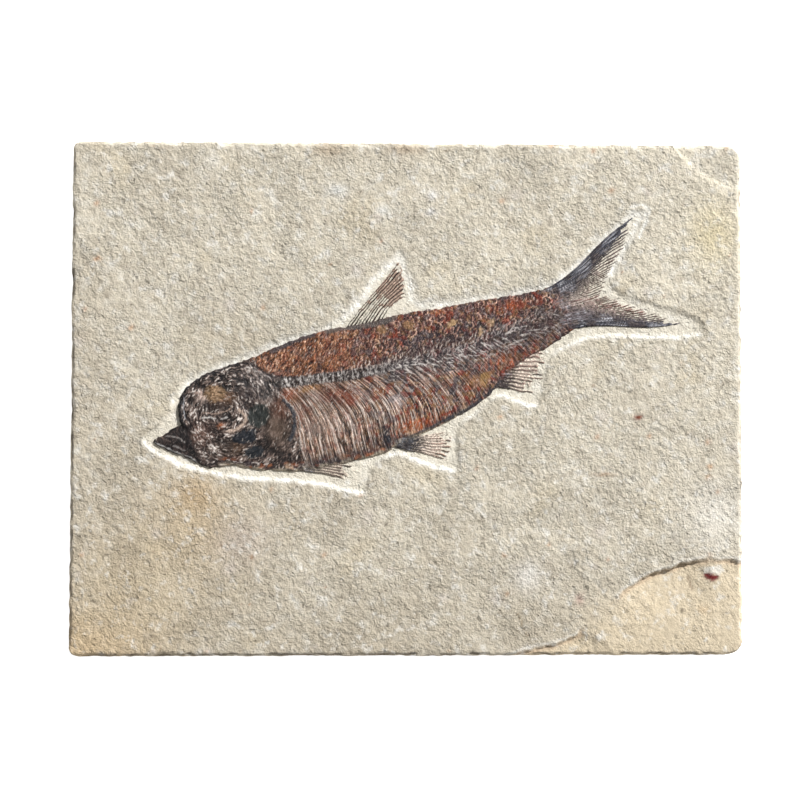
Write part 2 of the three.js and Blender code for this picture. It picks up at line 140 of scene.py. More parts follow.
# The fins, each as a fan between its root and the line of its tips, both from the leading ray to the
# trailing one. The bend bows the leading and the trailing ray, and the sway curves the leading ray like an
# S. Rays lie closed in a film for a share of their length, given for the leading and the trailing ray.
# Further out each covers a share of its width, with a pale web between over part of their length. The
# colours are those of the leading rays, the trailing rays and the opened rays.
FINS = {
    "dorsal": SimpleNamespace(
        root=[(48.6, 14.2), (51.6, 14.4), (54.4, 14.3), (57.2, 13.9)],
        tips=[(63.8, 25.9), (64.2, 23.6), (64.0, 20.8), (63.4, 17.8)],
        bend=(0.1, 0.8), sway=0.2, rays=10, film=(-0.3, -0.3), share=0.44, fray=0.06,
        colours=((40, 34, 32), (60, 50, 46), (66, 52, 46)), web=(190, 164, 146), web_span=(0.45, 1.15),
    ),
    "pelvic": SimpleNamespace(
        root=[(52.4, -12.6), (53.0, -13.6), (53.2, -14.8)],
        tips=[(65.2, -14.0), (66.2, -17.2), (63.8, -20.6)],
        bend=(-0.2, 0.2), sway=0.0, rays=9, film=(0.4, 0.3), share=0.38, fray=0.2,
        colours=((44, 46, 52), (54, 52, 54), (136, 106, 92)), web=(226, 210, 194), web_span=(0.2, 1.0),
    ),
    "pectoral": SimpleNamespace(
        root=[(30.9, -12.6), (30.6, -13.5), (30.4, -14.4)],
        tips=[(42.2, -16.3), (43.0, -18.2), (42.2, -20.0)],
        bend=(0.2, 0.2), sway=0.0, rays=5, film=(0.15, 0.1), share=0.5, fray=0.3,
        colours=((52, 50, 54), (66, 60, 60), (104, 88, 80)), web=(214, 200, 182), web_span=(0.2, 0.9),
    ),
    "anal": SimpleNamespace(
        root=[(76.2, -5.6), (79.6, -4.6), (83, -3.4), (88, -1.4)],
        tips=[(86.0, -10.3), (89.0, -8.4), (90.4, -5.6), (91.6, -2.3)],
        bend=(-0.2, 0.3), sway=0.0, rays=11, film=(0.45, -0.1), share=0.4, fray=0.35,
        colours=((46, 44, 48), (118, 96, 88), (128, 104, 94)), web=(220, 204, 188), web_span=(0.0, 0.9),
    ),
    "tail_upper": SimpleNamespace(
        root=[(92.6, 11.4), (94.4, 9.8), (96.0, 7.4)],
        tips=[(117.8, 22.8), (115.8, 18.8), (112.2, 13.8), (109.0, 10.6), (106.6, 7.4)],
        bend=(-0.65, -0.1), sway=-0.6, rays=24, film=(0.95, 0.1), share=0.48, fray=0.12,
        colours=((56, 60, 71), (108, 100, 100), (118, 98, 90)), web=(196, 182, 170), web_span=(0.0, 0.8),
    ),
    "tail_lower": SimpleNamespace(
        root=[(96.4, 1.7), (96.2, 4.4), (96.0, 7.7)],
        tips=[(122.6, -3.1), (119.6, -0.5), (114.4, 2.9), (109.4, 6.0), (106.6, 7.6)],
        bend=(0.2, 0.1), sway=0.55, rays=24, film=(0.9, 0.1), share=0.5, fray=0.12,
        colours=((52, 57, 68), (128, 114, 112), (138, 106, 98)), web=(192, 176, 166), web_span=(0.0, 0.8),
    ),
}
FAN_SAMPLES = (320, 520)
CLOSED = 1.15
WEB_HEIGHT = 0.12
RAY_HEIGHT = 0.3
# A share of web or ray below this doesn't show.
BARE = 0.02


# Colour
def linear(level):
    """sRGB levels from 0 to 255 as linear colour."""
    c = np.asarray(level, float) / 255
    return np.where(c <= 0.04045, c / 12.92, ((c + 0.055) / 1.055) ** 2.4)


def ramp(value, stops):
    """Linear colours read off a row of (value, sRGB) stops."""
    places = [place for place, _ in stops]
    colours = linear([colour for _, colour in stops])
    return np.stack([np.interp(value, places, colours[:, k]) for k in range(3)], axis=-1)


def paint(tint, mask, colour):
    """Lays an sRGB colour, or a grid of linear colours, over the tint as far as the mask says."""
    mask = np.clip(mask, 0, 1)[..., None]
    target = colour if isinstance(colour, np.ndarray) and colour.ndim > 1 else linear(colour)
    tint += (target - tint) * mask


# Repeatable noise
def hashed(ix, iy, seed):
    """A repeatable value from 0 to 1 for each lattice point."""
    mixed = ix.astype(np.int64) * 374761393 + iy.astype(np.int64) * 668265263 + seed * 974634777
    h = mixed & 0xFFFFFFFF
    h = ((h ^ (h >> 13)) * 1274126177) & 0xFFFFFFFF
    return ((h ^ (h >> 16)) & 0xFFFFFF) / 0xFFFFFF


def noise(x, y, seed):
    """Smooth gradient noise, from about -1 to 1, with features one unit across."""
    ix, iy = np.floor(x), np.floor(y)
    fx, fy = x - ix, y - iy
    wx, wy = (f * f * f * (f * (f * 6 - 15) + 10) for f in (fx, fy))
    corners = []
    for cy, cx in product((0, 1), repeat=2):
        turn = 2 * np.pi * hashed(ix + cx, iy + cy, seed)
        corners.append(np.cos(turn) * (fx - cx) + np.sin(turn) * (fy - cy))
    low = corners[0] + wx * (corners[1] - corners[0])
    high = corners[2] + wx * (corners[3] - corners[2])
    return 1.6 * (low + wy * (high - low))


def cloud(x, y, size, seed, octaves=3):
    """Noise in several octaves, the coarsest with features of the given size."""
    total = np.zeros(np.shape(x))
    for k in range(octaves):
        turn = 0.5 + 1.1 * k + 0.7 * seed
        u = (x * math.cos(turn) - y * math.sin(turn)) / size * 2**k
        v = (x * math.sin(turn) + y * math.cos(turn)) / size * 2**k
        total += noise(u, v, seed + k) / 2**k
    return total


# Masks
def smoothstep(low, high, value):
    """Rises smoothly from 0 at one end to 1 at the other."""
    t = np.clip((value - low) / (high - low), 0, 1)
    return t * t * (3 - 2 * t)


def span(value, begin, end):
    """1 over a stretch that fades in between the first two values and out between the last two."""
    return smoothstep(*begin, value) * (1 - smoothstep(*end, value))


def bell(value, width):
    return np.exp(-((value / width) ** 2))


def blob(x, y, spot, radii):
    """A soft patch, strongest at its centre."""
    return np.exp(-(((x - spot[0]) / radii[0]) ** 2 + ((y - spot[1]) / radii[1]) ** 2))


# Curves
def smooth(points, steps):
    """Points along a smooth curve through given points."""
    p = np.asarray(points, float)
    t = np.linspace(0, len(p) - 1, steps + 1)
    i = np.minimum(t.astype(int), len(p) - 2)
    w = (t - i)[:, None]
    p0, p1 = p[np.maximum(i - 1, 0)], p[i]
    p2, p3 = p[i + 1], p[np.minimum(i + 2, len(p) - 1)]
    v0, v1 = (p2 - p0) / 2, (p3 - p1) / 2
    return (2 * p1 - 2 * p2 + v0 + v1) * w**3 + (3 * p2 - 3 * p1 - 2 * v0 - v1) * w**2 + v0 * w + p1


def smooth_loop(points, steps):
    """A smooth closed curve, with its first point repeated at its end."""
    p = list(points)
    each = max(steps // len(p), 2)
    whole = smooth(p[-1:] + p + p[:2], each * (len(p) + 2))
    return whole[each : each * (len(p) + 1) + 1]


def read_off(curve, x):
    """The height of a smooth curve at each x."""
    line = smooth(curve, 200)
    return np.interp(x, line[:, 0], line[:, 1])


def nearest(x, y, line):
    """The distance to a line, and how far along the line its nearest place is, counted in steps."""
    best = np.full(x.shape, np.inf)
    along = np.zeros(x.shape)
    for i, ((x0, y0), (x1, y1)) in enumerate(zip(line[:-1], line[1:])):
        dx, dy = x1 - x0, y1 - y0
        t = np.clip(((x - x0) * dx + (y - y0) * dy) / max(dx * dx + dy * dy, 1e-9), 0, 1)
        squared = (x - x0 - t * dx) ** 2 + (y - y0 - t * dy) ** 2
        closer = squared < best
        best = np.where(closer, squared, best)
        along = np.where(closer, i + t, along)
    return np.sqrt(best), along


def inside(x, y, loop):
    """Whether each point lies inside a closed line."""
    odd = np.zeros(x.shape, bool)
    for (x0, y0), (x1, y1) in zip(loop, np.roll(loop, -1, axis=0)):
        crosses = (y0 > y) != (y1 > y)
        odd ^= crosses & (x < (x1 - x0) * (y - y0) / ((y1 - y0) or 1e-9) + x0)
    return odd


def depth_inside(x, y, loop):
    """How far inside a closed line each point lies; negative outside."""
    loop = np.asarray(loop, float)
    distance, _ = nearest(x, y, np.vstack([loop, loop[:1]]))
    return np.where(inside(x, y, loop), distance, -distance)


def stroke(x, y, line, width):
    """How strongly each point lies on a stroke along a line."""
    line = np.asarray(line, float)
    reach = 2 * width
    near = (x > line[:, 0].min() - reach) & (x < line[:, 0].max() + reach)
    near &= (y > line[:, 1].min() - reach) & (y < line[:, 1].max() + reach)
    mask = np.zeros(x.shape)
    distance, _ = nearest(x[near], y[near], line)
    mask[near] = 1 - smoothstep(0.55, 1.35, distance / (width / 2))
    return mask


# Slab shape
def grid_lines(half, cells):
    """Grid lines from one edge of the slab to the other."""
    near = half - EDGE_LINES[:-1]
    middle = np.linspace(EDGE_LINES[-1] - half, half - EDGE_LINES[-1], cells + 1)
    return np.concatenate([-near, middle, near[::-1]])


def rounded_corners(x, y):
    """Draws the points near each corner in, onto its rounding."""
    for name, radius in CORNER_RADII.items():
        right = 1 if "right" in name else -1
        up = 1 if "top" in name else -1
        centre_x = right * (HALF_PLAN[0] - radius)
        centre_y = up * (HALF_PLAN[1] - radius)
        past_x, past_y = right * (x - centre_x), up * (y - centre_y)
        a, b = np.clip(past_x / radius, 0, 1), np.clip(past_y / radius, 0, 1)
        corner = (past_x > 0) & (past_y > 0)
        x = np.where(corner, centre_x + right * radius * a * np.sqrt(1 - b * b / 2), x)
        y = np.where(corner, centre_y + up * radius * b * np.sqrt(1 - a * a / 2), y)
    return x, y


def slab_plan():
    """Points that cover the slab, in rows from its lower edge up, and how far in from the edge they lie."""
    half_x, half_y = HALF_PLAN
    x, y = np.meshgrid(grid_lines(half_x, SLAB_CELLS[0]), grid_lines(half_y, SLAB_CELLS[1]))
    sides = (x + half_x, half_x - x, y + half_y, half_y - y)
    wander = np.maximum(0.08 + 0.14 * cloud(x, y, 2.2, 41, 2), 0)
    left, right, low, high = (wander * smoothstep(EDGE_FADE, 0, side) for side in sides)
    x, y = rounded_corners(x + left - right, y + low - high)
    u = ((x + half_x) / (2 * half_x))[..., None]
    v = ((y + half_y) / (2 * half_y))[..., None]
    bottom = (1 - u) * np.array(CORNERS["bottom_left"]) + u * np.array(CORNERS["bottom_right"])
    top = (1 - u) * np.array(CORNERS["top_left"]) + u * np.array(CORNERS["top_right"])
    plan = (1 - v) * bottom + v * top
    return plan[..., 0], plan[..., 1], np.min(sides, axis=0)


def ring(grid):
    """The border of a grid, anticlockwise from its lower left corner."""
    return np.concatenate([grid[0, :-1], grid[:-1, -1], grid[-1, :0:-1], grid[:0:-1, 0]])


def chip_places(border):
    """Centre, direction and half sizes of each shell-shaped chip along the upper edge."""
    first = np.array(CORNERS["top_left"]) + (CHIP_START, 0)
    walk = np.roll(border, -np.argmin(np.hypot(*(border - first).T)), axis=0)
    far = np.append(0, np.cumsum(np.hypot(*(np.roll(walk, -1, axis=0) - walk).T)))
    for i in range(EDGE_CHIPS):
        share = math.floor((i + 1) * CHIP_TURN % 1 * OUTLINE_POINTS) / OUTLINE_POINTS
        k = min(np.searchsorted(far, share * far[-1]), len(walk) - 1)
        step = walk[(k + 3) % len(walk)] - walk[k - 3]
        sizes = [least + above * (i * turn % 1) for least, above, turn in CHIP_SIZES]
        yield walk[k], step / np.hypot(*step), sizes


def ledge_fields(x, y, brink, wall, seed):
    """A ledge right of a brink: its drop, how far inside it each point lies, and how crisp the brink is."""
    line = smooth(brink, 6 * len(brink))
    wx = x + LEDGE_WANDER * cloud(x, y, 2.5, seed)
    wy = y + LEDGE_WANDER * cloud(x, y, 2.5, seed + 7)
    distance, along = nearest(wx, wy, line[:, :2])
    brink_depth = np.interp(along, np.arange(len(line)), line[:, 2])
    depth = brink_depth + (line[:, 2].mean() - brink_depth) * smoothstep(1.5, 12, distance)
    across = line[-1, :2] - line[0, :2]
    beyond = LEDGE_REACH * np.array((across[1], -across[0])) / np.hypot(*across)
    loop = np.vstack([line[:, :2], line[-1, :2] + beyond, line[0, :2] + beyond])
    inner = np.where(inside(wx, wy, loop), distance, -distance)
    drop = depth * smoothstep(-wall / 2, wall / 2, inner)
    return SimpleNamespace(drop=drop, inner=inner, crisp=np.minimum(1, 2 * brink_depth))


def hollow_fields(x, y):
    """The hollow: how far inside it points lie, its floor, how softly it fades, where its wall faces."""
    loop = smooth_loop(HOLLOW, HOLLOW_STEPS)
    line = loop[:, :2]
    wx = x + 0.3 * cloud(x, y, 3, 51)
    wy = y + 0.3 * cloud(x, y, 3, 57)
    distance, along = nearest(wx, wy, line)
    inner = np.where(inside(wx, wy, line[:-1]), distance, -distance)
    step = line[1:] - line[:-1]
    out = np.stack([step[:, 1], -step[:, 0]], axis=1) / np.hypot(*step.T)[:, None]
    wall = out[np.minimum(along.astype(int), len(out) - 1)]
    soft = np.interp(along, np.arange(len(loop)), loop[:, 2])
    crisp = smoothstep(-HOLLOW_WALL / 2, HOLLOW_WALL / 2, inner)
    floor = crisp + soft * (smoothstep(0, FADED_WALL, inner) - crisp)
    return SimpleNamespace(inner=inner, floor=floor, crisp=crisp, soft=soft, wall=wall)


def slab_face():
    """The fields of the slab's upper face that its heights and colours are worked out from."""
    x, y, edge = slab_plan()
    return SimpleNamespace(
        x=x, y=y, edge=edge,
        grain=cloud(x, y, 1.4, 21, 2),
        coarse=cloud(x, y, 5, 26, 2),
        hollow=hollow_fields(x, y),
        lower=ledge_fields(x, y, LOWER_LEDGE, LOWER_WALL, 61),
        upper=ledge_fields(x, y, UPPER_LEDGE, UPPER_WALL, 71),
        lip=0.55 + 0.3 * cloud(x, y, 2.4, 35, 2),
        chipped=smoothstep(-0.4, 0.2, cloud(x, y, 5, 37, 2)),
    )


def raise_stone(face):
    """Heights of the split face with its grain, hollow, ledges and pits."""
    x, y, hollow = face.x, face.y, face.hollow
    z = THICKNESS + 0.12 * cloud(x, y, 34, 11, 2) + 0.05 * face.coarse * (1 - 0.5 * hollow.crisp)
    z += 0.07 * face.grain * (1 - 0.4 * hollow.crisp)
    z -= HOLLOW_DEPTH * hollow.floor + face.lower.drop + face.upper.drop
    for spot, radius in PITS:
        z -= PIT_DEPTH * blob(x, y, spot, (radius, radius))
    face.z = z


def break_edges(face):
    """Wears the upper edges down, and breaks a ragged lip and shell-shaped chips out of them."""
    x, y, edge, lip = face.x, face.y, face.edge, face.lip
    ragged = np.maximum(0, cloud(x, y, 4, 31, 3))
    z = face.z - ragged * (1 - smoothstep(0, 0.2 + 0.8 * ragged, edge))
    z -= 0.4 * np.exp(-edge / 0.4) * np.clip(1 + 0.7 * cloud(x, y, 3, 33, 2), 0.2, 2)
    z -= 0.4 * face.chipped * (1 - smoothstep(lip - 0.15, lip + 0.15, edge))
    border = np.stack([ring(x), ring(y)], axis=1)
    for (chip_x, chip_y), (way_x, way_y), (half_length, half_width, depth) in chip_places(border):
        u = ((x - chip_x) * way_x + (y - chip_y) * way_y) / half_length
        v = ((y - chip_y) * way_x - (x - chip_x) * way_y) / half_width
        scoop = np.sqrt(np.maximum(0, 1 - u * u - v * v))
        z = np.where(scoop > 0, np.minimum(z, THICKNESS - depth * scoop + 0.06 * face.grain), z)
    face.z = z


# Slab colours, as sRGB levels
STONE = [(-1, (190, 179, 160)), (0, (206, 197, 179)), (1, (222, 213, 194))]
SIDE_STONE = [(-1, (168, 150, 124)), (1, (216, 204, 182))]
LEDGE_STONE = (214, 197, 168)
# Painted shade on the lower ledge just below its brink, and painted highlights along the lit edges of both
# brinks
LEDGE_SHADE = (208, 183, 154)
LEDGE_BRINK_HIGHLIGHT = (240, 235, 224)
UPPER_BRINK_HIGHLIGHT = (240, 230, 208)
PALE_FLOOR = (232, 225, 209)
# Painted highlight on the hollow's wall where it faces the light
WALL_HIGHLIGHT = (252, 250, 243)
SCRAPED_RIM = (250, 246, 236)
LIP_SHADE = (92, 80, 66)
# The lip is shaded left of this x and below this y.
SHADED_LIP = (-73, -55)
# How brightly the hollow's wall is lit where it faces along x and along y
LIT_WALL = np.array((-0.45, -0.9))
# Mottling: size, seed, octaves, the noise where it begins and is full, colour and strength
MOTTLES = [
    (2.6, 86, 3, (0, 0.8), (226, 221, 209), 0.45),
    (2.2, 89, 3, (0.1, 0.8), (174, 162, 144), 0.42),
    (12, 93, 2, (0.35, 1.0), (206, 190, 158), 0.3),
]
# Marks: centre, radii, colour and strength. The dark speck is painted again over the ledge's own colour.
LEDGE_SPECK = ((62.8, -48.1), (0.4, 0.35), (70, 60, 52), 1.0)
STONE_MARKS = [
    # Darker towards the lower edge of the slab
    ((8, -52), (60, 16), (176, 164, 144), 0.3),
    ((-47.8, -22), (5, 4), (205, 168, 118), 0.5),
    ((-46.6, -29), (11, 10), (196, 172, 136), 0.55),
    ((-74, -56), (16, 9), (214, 182, 136), 0.55),
    ((-62, -44), (17, 15), (190, 172, 142), 0.6),
    ((-37.6, -32), (6, 5), (196, 184, 176), 0.5),
    ((69.8, 37.7), (5, 7), (226, 210, 166), 0.6),
    ((-17.1, 56.5), (4, 1.6), (176, 152, 124), 0.5),
    ((0, 56.6), (4, 1.4), (176, 150, 122), 0.5),
    ((-15.5, 47.4), (2.4, 1.4), (226, 226, 222), 0.7),
    ((-5.1, 42.9), (1.8, 1.2), (226, 226, 222), 0.7),
    ((6, 46.3), (1.4, 1), (228, 226, 224), 0.7),
    ((6, 42.4), (1.2, 1), (228, 226, 224), 0.7),
    ((27.6, -40), (3.2, 3.6), (232, 229, 224), 0.55),
    ((70.3, -26.3), (6, 7), (236, 230, 218), 0.75),
    ((39.6, -45.6), (0.9, 1.3), (192, 164, 152), 0.8),
    ((68, -47.9), (1.2, 1), (214, 164, 104), 0.7),
    ((69.3, -15.4), (0.6, 0.5), (196, 140, 84), 0.8),
    ((68.9, -17.7), (0.6, 0.5), (200, 146, 90), 0.8),
    ((45.3, -17.1), (2.6, 0.4), (170, 138, 108), 0.6),
    ((-69.9, 31.8), (0.8, 0.5), (196, 134, 84), 0.8),
    ((-43.7, 54.3), (1.8, 1.8), (230, 226, 216), 0.6),
    ((-58, -54), (1.8, 0.8), (120, 108, 92), 0.5),
    ((53, -4.1), (0.8, 0.7), (122, 62, 44), 1.2),
    LEDGE_SPECK,
]
# Scratches: points, width and colour
SCRATCHES = [
    ([(51.0, 43.6), (53.6, 44.2), (55.5, 43.1), (54.4, 39.7), (53, 36.8)], 0.45, (250, 248, 240)),
    ([(50.2, 42.6), (52.6, 42.4), (53.6, 40.6)], 0.35, (246, 243, 232)),
    ([(64.1, -40), (64.6, -41.8), (65.3, -43.4)], 0.35, (122, 102, 84)),
    ([(25.3, -48.8), (26.4, -50.6), (26.6, -52), (27.6, -53.6)], 0.3, (150, 132, 108)),
]
# Small specks scattered over the slab: spacing, largest radius, colour, strength and seed
SPECKS = [
    (9, 0.7, (228, 226, 220), 0.6, 301),
    (7, 0.45, (120, 106, 90), 0.5, 311),
    (13, 0.6, (196, 140, 96), 0.55, 321),
    (6, 0.35, (150, 128, 108), 0.5, 331),
    (17, 1.6, (214, 204, 196), 0.5, 341),
]
# A rust-red fleck and the bare patch above it, as outlines with a colour
FLECKS = [
    (
        [(67.6, -38.4), (71.7, -37.7), (71.8, -39.6), (71.1, -39.9), (69, -39.4), (67.8, -39.6)],
        (222, 216, 204),
    ),
    (
        [
            (67.6, -39.7), (69, -39.4), (70.2, -39.9), (71.3, -40.2),
            (70.8, -41.1), (69.6, -41.4), (68.1, -40.7),
        ],
        (110, 46, 46),
    ),
]
# Pits: centre and radius
PITS = [((-44.2, 45.4), 0.8), ((-62.5, 53), 0.6), ((20, -30), 0.6), ((35, 40), 0.6)]


def specks(x, y, spacing, radius, seed):
    """Small scattered spots, one in each cell of a lattice, and many of them too small to show."""
    ix, iy = np.floor(x / spacing), np.floor(y / spacing)
    cx = (ix + 0.2 + 0.6 * hashed(ix, iy, seed)) * spacing
    cy = (iy + 0.2 + 0.6 * hashed(ix, iy, seed + 1)) * spacing
    size = radius * hashed(ix, iy, seed + 2) ** 1.5 + 1e-3
    return bell(np.hypot(x - cx, y - cy), size)


def paint_stone(face):
    """The stone's colours: broad tones, mottling, stains and other marks, and specks."""
    x, y, grain, coarse = face.x, face.y, face.grain, face.coarse
    tint = ramp(0.5 * cloud(x, y, 22, 81, 3) + 0.007 * x + 0.008 * y, STONE)
    for size, seed, octaves, (begin, full), colour, strength in MOTTLES:
        paint(tint, strength * smoothstep(begin, full, cloud(x, y, size, seed, octaves)), colour)
    for spot, radii, colour, strength in STONE_MARKS:
        paint(tint, strength * blob(x + 0.4 * coarse, y + 0.4 * grain, spot, radii), colour)
    for spacing, radius, colour, strength, seed in SPECKS:
        paint(tint, strength * specks(x + 0.3 * grain, y + 0.3 * coarse, spacing, radius, seed), colour)
    face.tint = tint


def paint_ledge(face):
    """The lower ledge's warmer stone, which blends in where its brink is low, and a dark speck on it."""
    low_brink = 1 - face.lower.crisp
    inner = face.lower.inner + 1.5 * face.coarse * low_brink
    face.on_ledge = smoothstep(-1, 1, inner / (0.8 + 6 * low_brink))
    paint(face.tint, 0.75 * face.on_ledge, LEDGE_STONE)
    spot, radii, colour, strength = LEDGE_SPECK
    paint(face.tint, strength * blob(face.x, face.y, spot, radii), colour)


def scratch(face):
    for line, width, colour in SCRATCHES:
        mark = stroke(face.x + 0.2 * face.grain, face.y, line, 1.6 * width)
        paint(face.tint, 0.7 * mark, colour)
        face.z -= 0.15 * mark


def paint_hollow(face):
    """The hollow's pale floor, a painted highlight on its wall where the wall faces the light, its pale
    scraped rim, and painted shade on the lip of the slab.
    """
    x, y, tint, hollow = face.x, face.y, face.tint, face.hollow
    paint(tint, 0.6 * hollow.floor, PALE_FLOOR)
    shaded = (x < SHADED_LIP[0]) | (y < SHADED_LIP[1])
    paint(tint, 0.8 * shaded * face.chipped * bell(face.edge - face.lip + 0.1, 0.17), LIP_SHADE)
    broken = 0.8 + 0.6 * cloud(x, y, 1.6, 97, 2)
    lit = np.clip(hollow.wall @ LIT_WALL, 0, 1)
    # Painted highlight: the hollow's wall is painted nearly white where it faces the light.
    paint(tint, broken * lit * bell(hollow.inner + 0.05, 0.48), WALL_HIGHLIGHT)
    faded = np.minimum(1, 2 * hollow.soft)
    paint(tint, 0.95 * broken * faded * bell(hollow.inner - 1.5, 0.8), SCRAPED_RIM)


def paint_brinks(face):
    """Painted light and shade along the brinks of the ledges, and the rust-red fleck beside one."""
    lower, tint = face.lower, face.tint
    # Painted shade on the ledge just below the lower brink, and a painted highlight along the lit edge
    # above it.
    paint(tint, 0.7 * lower.crisp * bell(lower.inner - 0.45, 0.55), LEDGE_SHADE)
    paint(tint, 0.7 * lower.crisp * bell(lower.inner + 0.5, 0.3), LEDGE_BRINK_HIGHLIGHT)
    for outline, colour in FLECKS:
        paint(tint, smoothstep(-0.25, 0.25, depth_inside(face.x, face.y, outline)), colour)
    # Painted highlight along the lit step of the upper ledge's brink.
    paint(tint, 0.4 * bell(face.upper.inner, 0.5), UPPER_BRINK_HIGHLIGHT)


# Meshes
ATTRIBUTE_FIELDS = {"FLOAT": "value", "FLOAT_VECTOR": "vector", "FLOAT_COLOR": "color"}


def store(piece, name, kind, values):
    """Stores a value, vector or colour for each point of a piece."""
    made = piece.data.attributes.new(name, kind, "POINT")
    made.data.foreach_set(ATTRIBUTE_FIELDS[kind], np.asarray(values, np.float32).ravel())


def store_tint(piece, tint):
    store(piece, "tint", "FLOAT_COLOR", np.column_stack([tint, np.ones(len(tint))]))


def mesh_piece(name, points, quads, corner_uv, floor=()):
    """A smooth mesh from points in millimetres, four-cornered faces and at most one many-cornered floor."""
    mesh = bpy.data.meshes.new(name)
    corners = np.append(quads.ravel(), floor).astype(np.int32)
    starts = 4 * np.arange(len(quads) + (len(floor) > 0), dtype=np.int32)
    mesh.vertices.add(len(points))
    mesh.vertices.foreach_set("co", (points * MM).astype(np.float32).ravel())
    mesh.loops.add(len(corners))
    mesh.loops.foreach_set("vertex_index", corners)
    mesh.polygons.add(len(starts))
    mesh.polygons.foreach_set("loop_start", starts)
    mesh.update(calc_edges=True)
    mesh.validate()
    mesh.polygons.foreach_set("use_smooth", np.ones(len(mesh.polygons), bool))
    uv = mesh.uv_layers.new(name="OFBake")
    uv.data.foreach_set("uv", np.asarray(corner_uv, np.float32).ravel())
    piece = bpy.data.objects.new(name, mesh)
    bpy.context.scene.collection.objects.link(piece)
    return piece


def grid_quads(rows, columns):
    """Corner numbers of the cells of a grid of points, anticlockwise from above."""
    number = np.arange(rows * columns).reshape(rows, columns)
    corners = (number[:-1, :-1], number[:-1, 1:], number[1:, 1:], number[1:, :-1])
    return np.stack(corners, axis=-1).reshape(-1, 4)


# The slab's UV map: its plan at this shift and size, a strip for the sides above it, and a small underside
PLAN_SHIFT = (77, 59)
PLAN_SIZE = 155
SIDE_STRIP = (0.8, 0.06)
FLOOR_SCALE = 0.12
FLOOR_CORNER = (0.02, 0.88)


def slab_sides(brim):
    """Rows of points down the slab's sides from its brim, their colours, and how far round each stands."""
    step = np.roll(brim, -1, axis=0) - np.roll(brim, 1, axis=0)
    length = np.hypot(step[:, 0], step[:, 1])
    inward = np.stack([-step[:, 1], step[:, 0]], axis=1) / length[:, None]
    walk = np.cumsum(length / 2)
    rows, tints = [], []
    for share in np.arange(1, SIDE_ROWS + 1) / SIDE_ROWS:
        height = brim[:, 2] * (1 - share)
        layer = noise(walk / 40, height / 0.9, 43)
        inset = SIDE_INSET + 0.1 * noise(walk / 2.5, height / 1.2, 44) + 0.1 * layer
        inset += FOOT_INSET * (share == 1)
        rows.append(np.column_stack([brim[:, :2] + inward * inset[:, None], height]))
        tints.append(ramp(layer + 0.4 * noise(walk / 3, height / 2, 45), SIDE_STONE))
    return np.vstack(rows), np.vstack(tints), walk


def side_uvs(walk):
    """UVs of the corners of the faces down the sides, row by row."""
    start = np.append(0, walk[:-1]) / walk[-1]
    end = np.append(start[1:], 1)
    low, height = SIDE_STRIP
    rows = []
    for k in range(SIDE_ROWS):
        top, bottom = (np.full(len(walk), low + height * level / SIDE_ROWS) for level in (k, k + 1))
        corners = ((start, top), (start, bottom), (end, bottom), (end, top))
        rows.append(np.stack([np.column_stack(corner) for corner in corners], axis=1))
    return np.concatenate(rows).reshape(-1, 2)


def limestone():
    """The slab's mesh: its upper face, the rows down its sides and a flat underside."""
    face = slab_face()
    for step in (raise_stone, break_edges, paint_stone, paint_ledge, scratch, paint_hollow, paint_brinks):
        step(face)
    patchy = np.clip(1 + 0.45 * cloud(face.x, face.y, 9, 99, 3), 0.45, 1.6)
    rough = (1 - 0.25 * face.hollow.floor) * (1 - 0.45 * face.on_ledge) * patchy
    top = np.stack([face.x, face.y, face.z], axis=-1).reshape(-1, 3)
    numbers = ring(np.arange(len(top)).reshape(face.x.shape))
    rows, row_tints, walk = slab_sides(top[numbers])
    below = len(top) + np.arange(len(rows)).reshape(SIDE_ROWS, -1)
    levels = np.vstack([numbers, below])
    after = np.roll(levels, -1, axis=1)
    sides = np.stack([levels[:-1], levels[1:], after[1:], after[:-1]], axis=-1).reshape(-1, 4)
    top_faces = grid_quads(*face.x.shape)
    floor = below[-1][::-1]
    points = np.vstack([top, rows])
    plan = (points[:, :2] + PLAN_SHIFT) / PLAN_SIZE
    floor_uv = plan[floor] * FLOOR_SCALE + FLOOR_CORNER
    corner_uv = np.vstack([plan[top_faces.ravel()], side_uvs(walk), floor_uv])
    piece = mesh_piece("slab_stone", points, np.vstack([top_faces, sides]), corner_uv, floor)
    store_tint(piece, np.vstack([face.tint.reshape(-1, 3), row_tints]))
    store(piece, "rough", "FLOAT", np.append(rough, np.ones(len(rows))))
    on_side = np.append(np.zeros(len(top)), np.ones(len(rows)))
    on_side[numbers] = 0.5
    store(piece, "side", "FLOAT", on_side)
    return piece


# Fish colours, as rows of (tone, sRGB) stops from the darkest gaps to the palest flecks
UPPER_FRONT = [
    (-1, (48, 28, 21)), (-0.4, (92, 55, 39)), (0.1, (128, 82, 57)), (0.6, (166, 114, 84)),
    (1.2, (216, 182, 158)),
]
UPPER_REAR = [
    (-1, (30, 22, 24)), (-0.4, (62, 44, 45)), (0.1, (92, 63, 60)), (0.6, (130, 87, 76)),
    (1.2, (204, 166, 146)),
]
RIBS_FRONT = [
    (-1, (46, 35, 30)), (-0.4, (98, 74, 61)), (0.1, (140, 110, 94)), (0.6, (172, 142, 124)),
    (1.2, (214, 192, 176)),
]
RIBS_REAR = [
    (-1, (32, 25, 26)), (-0.4, (76, 52, 46)), (0.1, (120, 80, 64)), (0.6, (166, 118, 94)),
    (1.2, (214, 186, 168)),
]
SKULL = [
    (-1, (26, 23, 24)), (-0.4, (60, 50, 47)), (0.1, (98, 83, 76)), (0.6, (144, 127, 118)),
    (1.2, (218, 208, 200)),
]
SPINE = [
    (-1, (28, 25, 26)), (-0.3, (64, 58, 58)), (0.2, (108, 102, 100)), (0.7, (162, 156, 152)),
    (1.2, (218, 212, 206)),
]
MAROON = [(-1, (40, 15, 15)), (0, (106, 40, 30)), (1, (184, 88, 54))]
